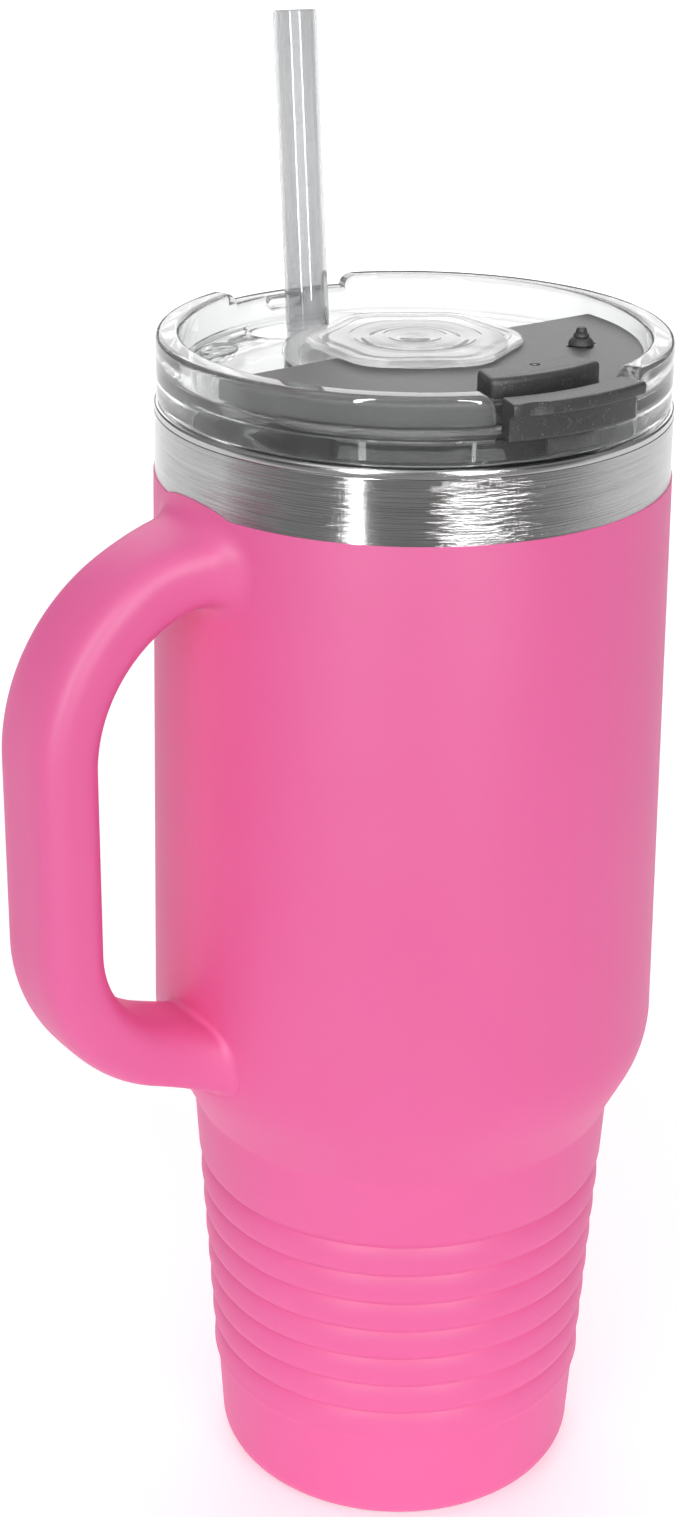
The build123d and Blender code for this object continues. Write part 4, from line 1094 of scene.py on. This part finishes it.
def camera_turn():
    """Rotation of the camera from its heading, its pitch and its roll."""
    look = np.array([sin(HEADING) * cos(PITCH), cos(HEADING) * cos(PITCH), -sin(PITCH)])
    right = np.cross(look, (0, 0, 1))
    right /= np.linalg.norm(right)
    up = np.cross(right, look)
    x, y = cos(ROLL) * right + sin(ROLL) * up, -sin(ROLL) * right + cos(ROLL) * up
    return Matrix((x, y, -look)).transposed().to_4x4()


def area(name, az, distance, height, w, h, power, aim, diffuse, glossy):
    """Soft box at an azimuth and a distance from the cup's axis, turned to a point on that axis."""
    data = bpy.data.lights.new(name, "AREA")
    data.shape, data.size, data.size_y, data.energy = "RECTANGLE", w, h, power
    obj = bpy.data.objects.new(name, data)
    at = Vector((distance * cos(radians(az)), distance * sin(radians(az)), height))
    obj.location = at
    obj.rotation_euler = (Vector((0, 0, aim)) - at).to_track_quat("-Z", "Y").to_euler()
    obj.visible_camera, obj.visible_diffuse, obj.visible_glossy = False, diffuse, glossy
    bpy.context.scene.collection.objects.link(obj)


def floor_paint():
    """White sweep with painted light and painted shade. Its glow is painted light that rises from 0.30
    to 1.2 with distance. Towards the camera, painted shade takes its colour from 0.92 to 0.34 and its
    glow down to 0.02.
    """
    p = Paint("floor_paint")
    # painted shade: towards the camera the floor's colour and glow fall
    painted_shade_front = p.vector("DOT_PRODUCT", 1, (-sin(HEADING), -cos(HEADING), 0.0)).clamp(0.10, 0.30)
    # painted light: the floor's glow rises with distance
    far = p.vector("LENGTH", 1).clamp(0.6, 2.6)
    glow = p.mix(painted_shade_front, p.mix(far, tone(0.30), tone(1.2)), tone(0.02))
    return p.finish(Base_Color=p.mix(painted_shade_front, tone(0.92), tone(0.34)), Roughness=0.9,
                    Specular_IOR_Level=0.1, Emission_Color=glow, Emission_Strength=1.0)


def room(scene):
    """Room light = low + above * up + sides * (off the camera's side) - beyond * (straight on)."""
    world = bpy.data.worlds.new("room")
    world.use_nodes = True
    tree = world.node_tree
    where = tree.nodes.new("ShaderNodeTexCoord").outputs["Generated"]

    def along(vector):
        dot = tree.nodes.new("ShaderNodeVectorMath")
        dot.operation = "DOT_PRODUCT"
        tree.links.new(where, dot.inputs[0])
        dot.inputs[1].default_value = vector
        return Sock(tree, dot.outputs["Value"])

    up = along((0, 0, 1))
    back = along((sin(HEADING), cos(HEADING), 0))
    level = (ROOM_LOW + ROOM_ABOVE * up.clamp(0.1, 0.9) + ROOM_SIDES * back.clamp(-0.45, -0.1)
             - ROOM_BEYOND * back.clamp(0.3, 0.7))
    shade = tree.nodes["Background"]
    shade.inputs["Color"].default_value = (1, 1, 1, 1)
    tree.links.new(level.out, shade.inputs["Strength"])
    scene.world = world


class TUMBLER_OT_stage(Operator):
    """Builds the floor, the lights and the camera"""
    bl_idname = "tumbler.stage"
    bl_label = "Stage"

    def execute(self, context):
        scene = context.scene
        scene.view_settings.view_transform = "Standard"
        ang = np.linspace(0, TURN, FLOOR_SIDES, endpoint=False)
        disc = np.stack([FLOOR_R * np.cos(ang), FLOOR_R * np.sin(ang), np.full_like(ang, -0.02)], -1)
        floor = new_object("floor", disc, [list(range(FLOOR_SIDES))])
        floor.data.materials.append(floor_paint())
        room(scene)
        for name, values in LIGHTS.items():
            area(name, *values)
        data = bpy.data.cameras.new("camera")
        data.sensor_width, data.sensor_fit, data.lens = 36.0, "AUTO", LENS
        data.dof.use_dof = False
        data.clip_start, data.clip_end = 0.01, 50
        camera = bpy.data.objects.new("camera", data)
        camera.matrix_world = Matrix.Translation(CAMERA_AT) @ camera_turn()
        scene.collection.objects.link(camera)
        scene.camera = camera
        return {"FINISHED"}


class TUMBLER_PT_panel(Panel):
    """Sizes and builders of the tumbler"""
    bl_label = "Tumbler"
    bl_idname = "TUMBLER_PT_panel"
    bl_space_type = "VIEW_3D"
    bl_region_type = "UI"
    bl_category = "Tumbler"

    def draw(self, context):
        for operator in OPERATORS:
            self.layout.operator(operator.bl_idname, text=operator.bl_label)
        for key in GROUPS:
            box = self.layout.box()
            group = getattr(context.scene, key)
            for name in group.__annotations__:
                box.prop(group, name)


OPERATORS = (TUMBLER_OT_stage, TUMBLER_OT_cup, TUMBLER_OT_handle, TUMBLER_OT_lid, TUMBLER_OT_cover,
             TUMBLER_OT_straw)
CLASSES = (*GROUPS.values(), *OPERATORS, TUMBLER_PT_panel)


def register():
    for cls in CLASSES:
        bpy.utils.register_class(cls)
    for key, cls in GROUPS.items():
        setattr(bpy.types.Scene, key, PointerProperty(type=cls))


def unregister():
    for key in GROUPS:
        delattr(bpy.types.Scene, key)
    for cls in reversed(CLASSES):
        bpy.utils.unregister_class(cls)


def main():
    register()
    for operator in OPERATORS:
        space, name = operator.bl_idname.split(".")
        getattr(getattr(bpy.ops, space), name)()


if __name__ == "__main__":
    main()
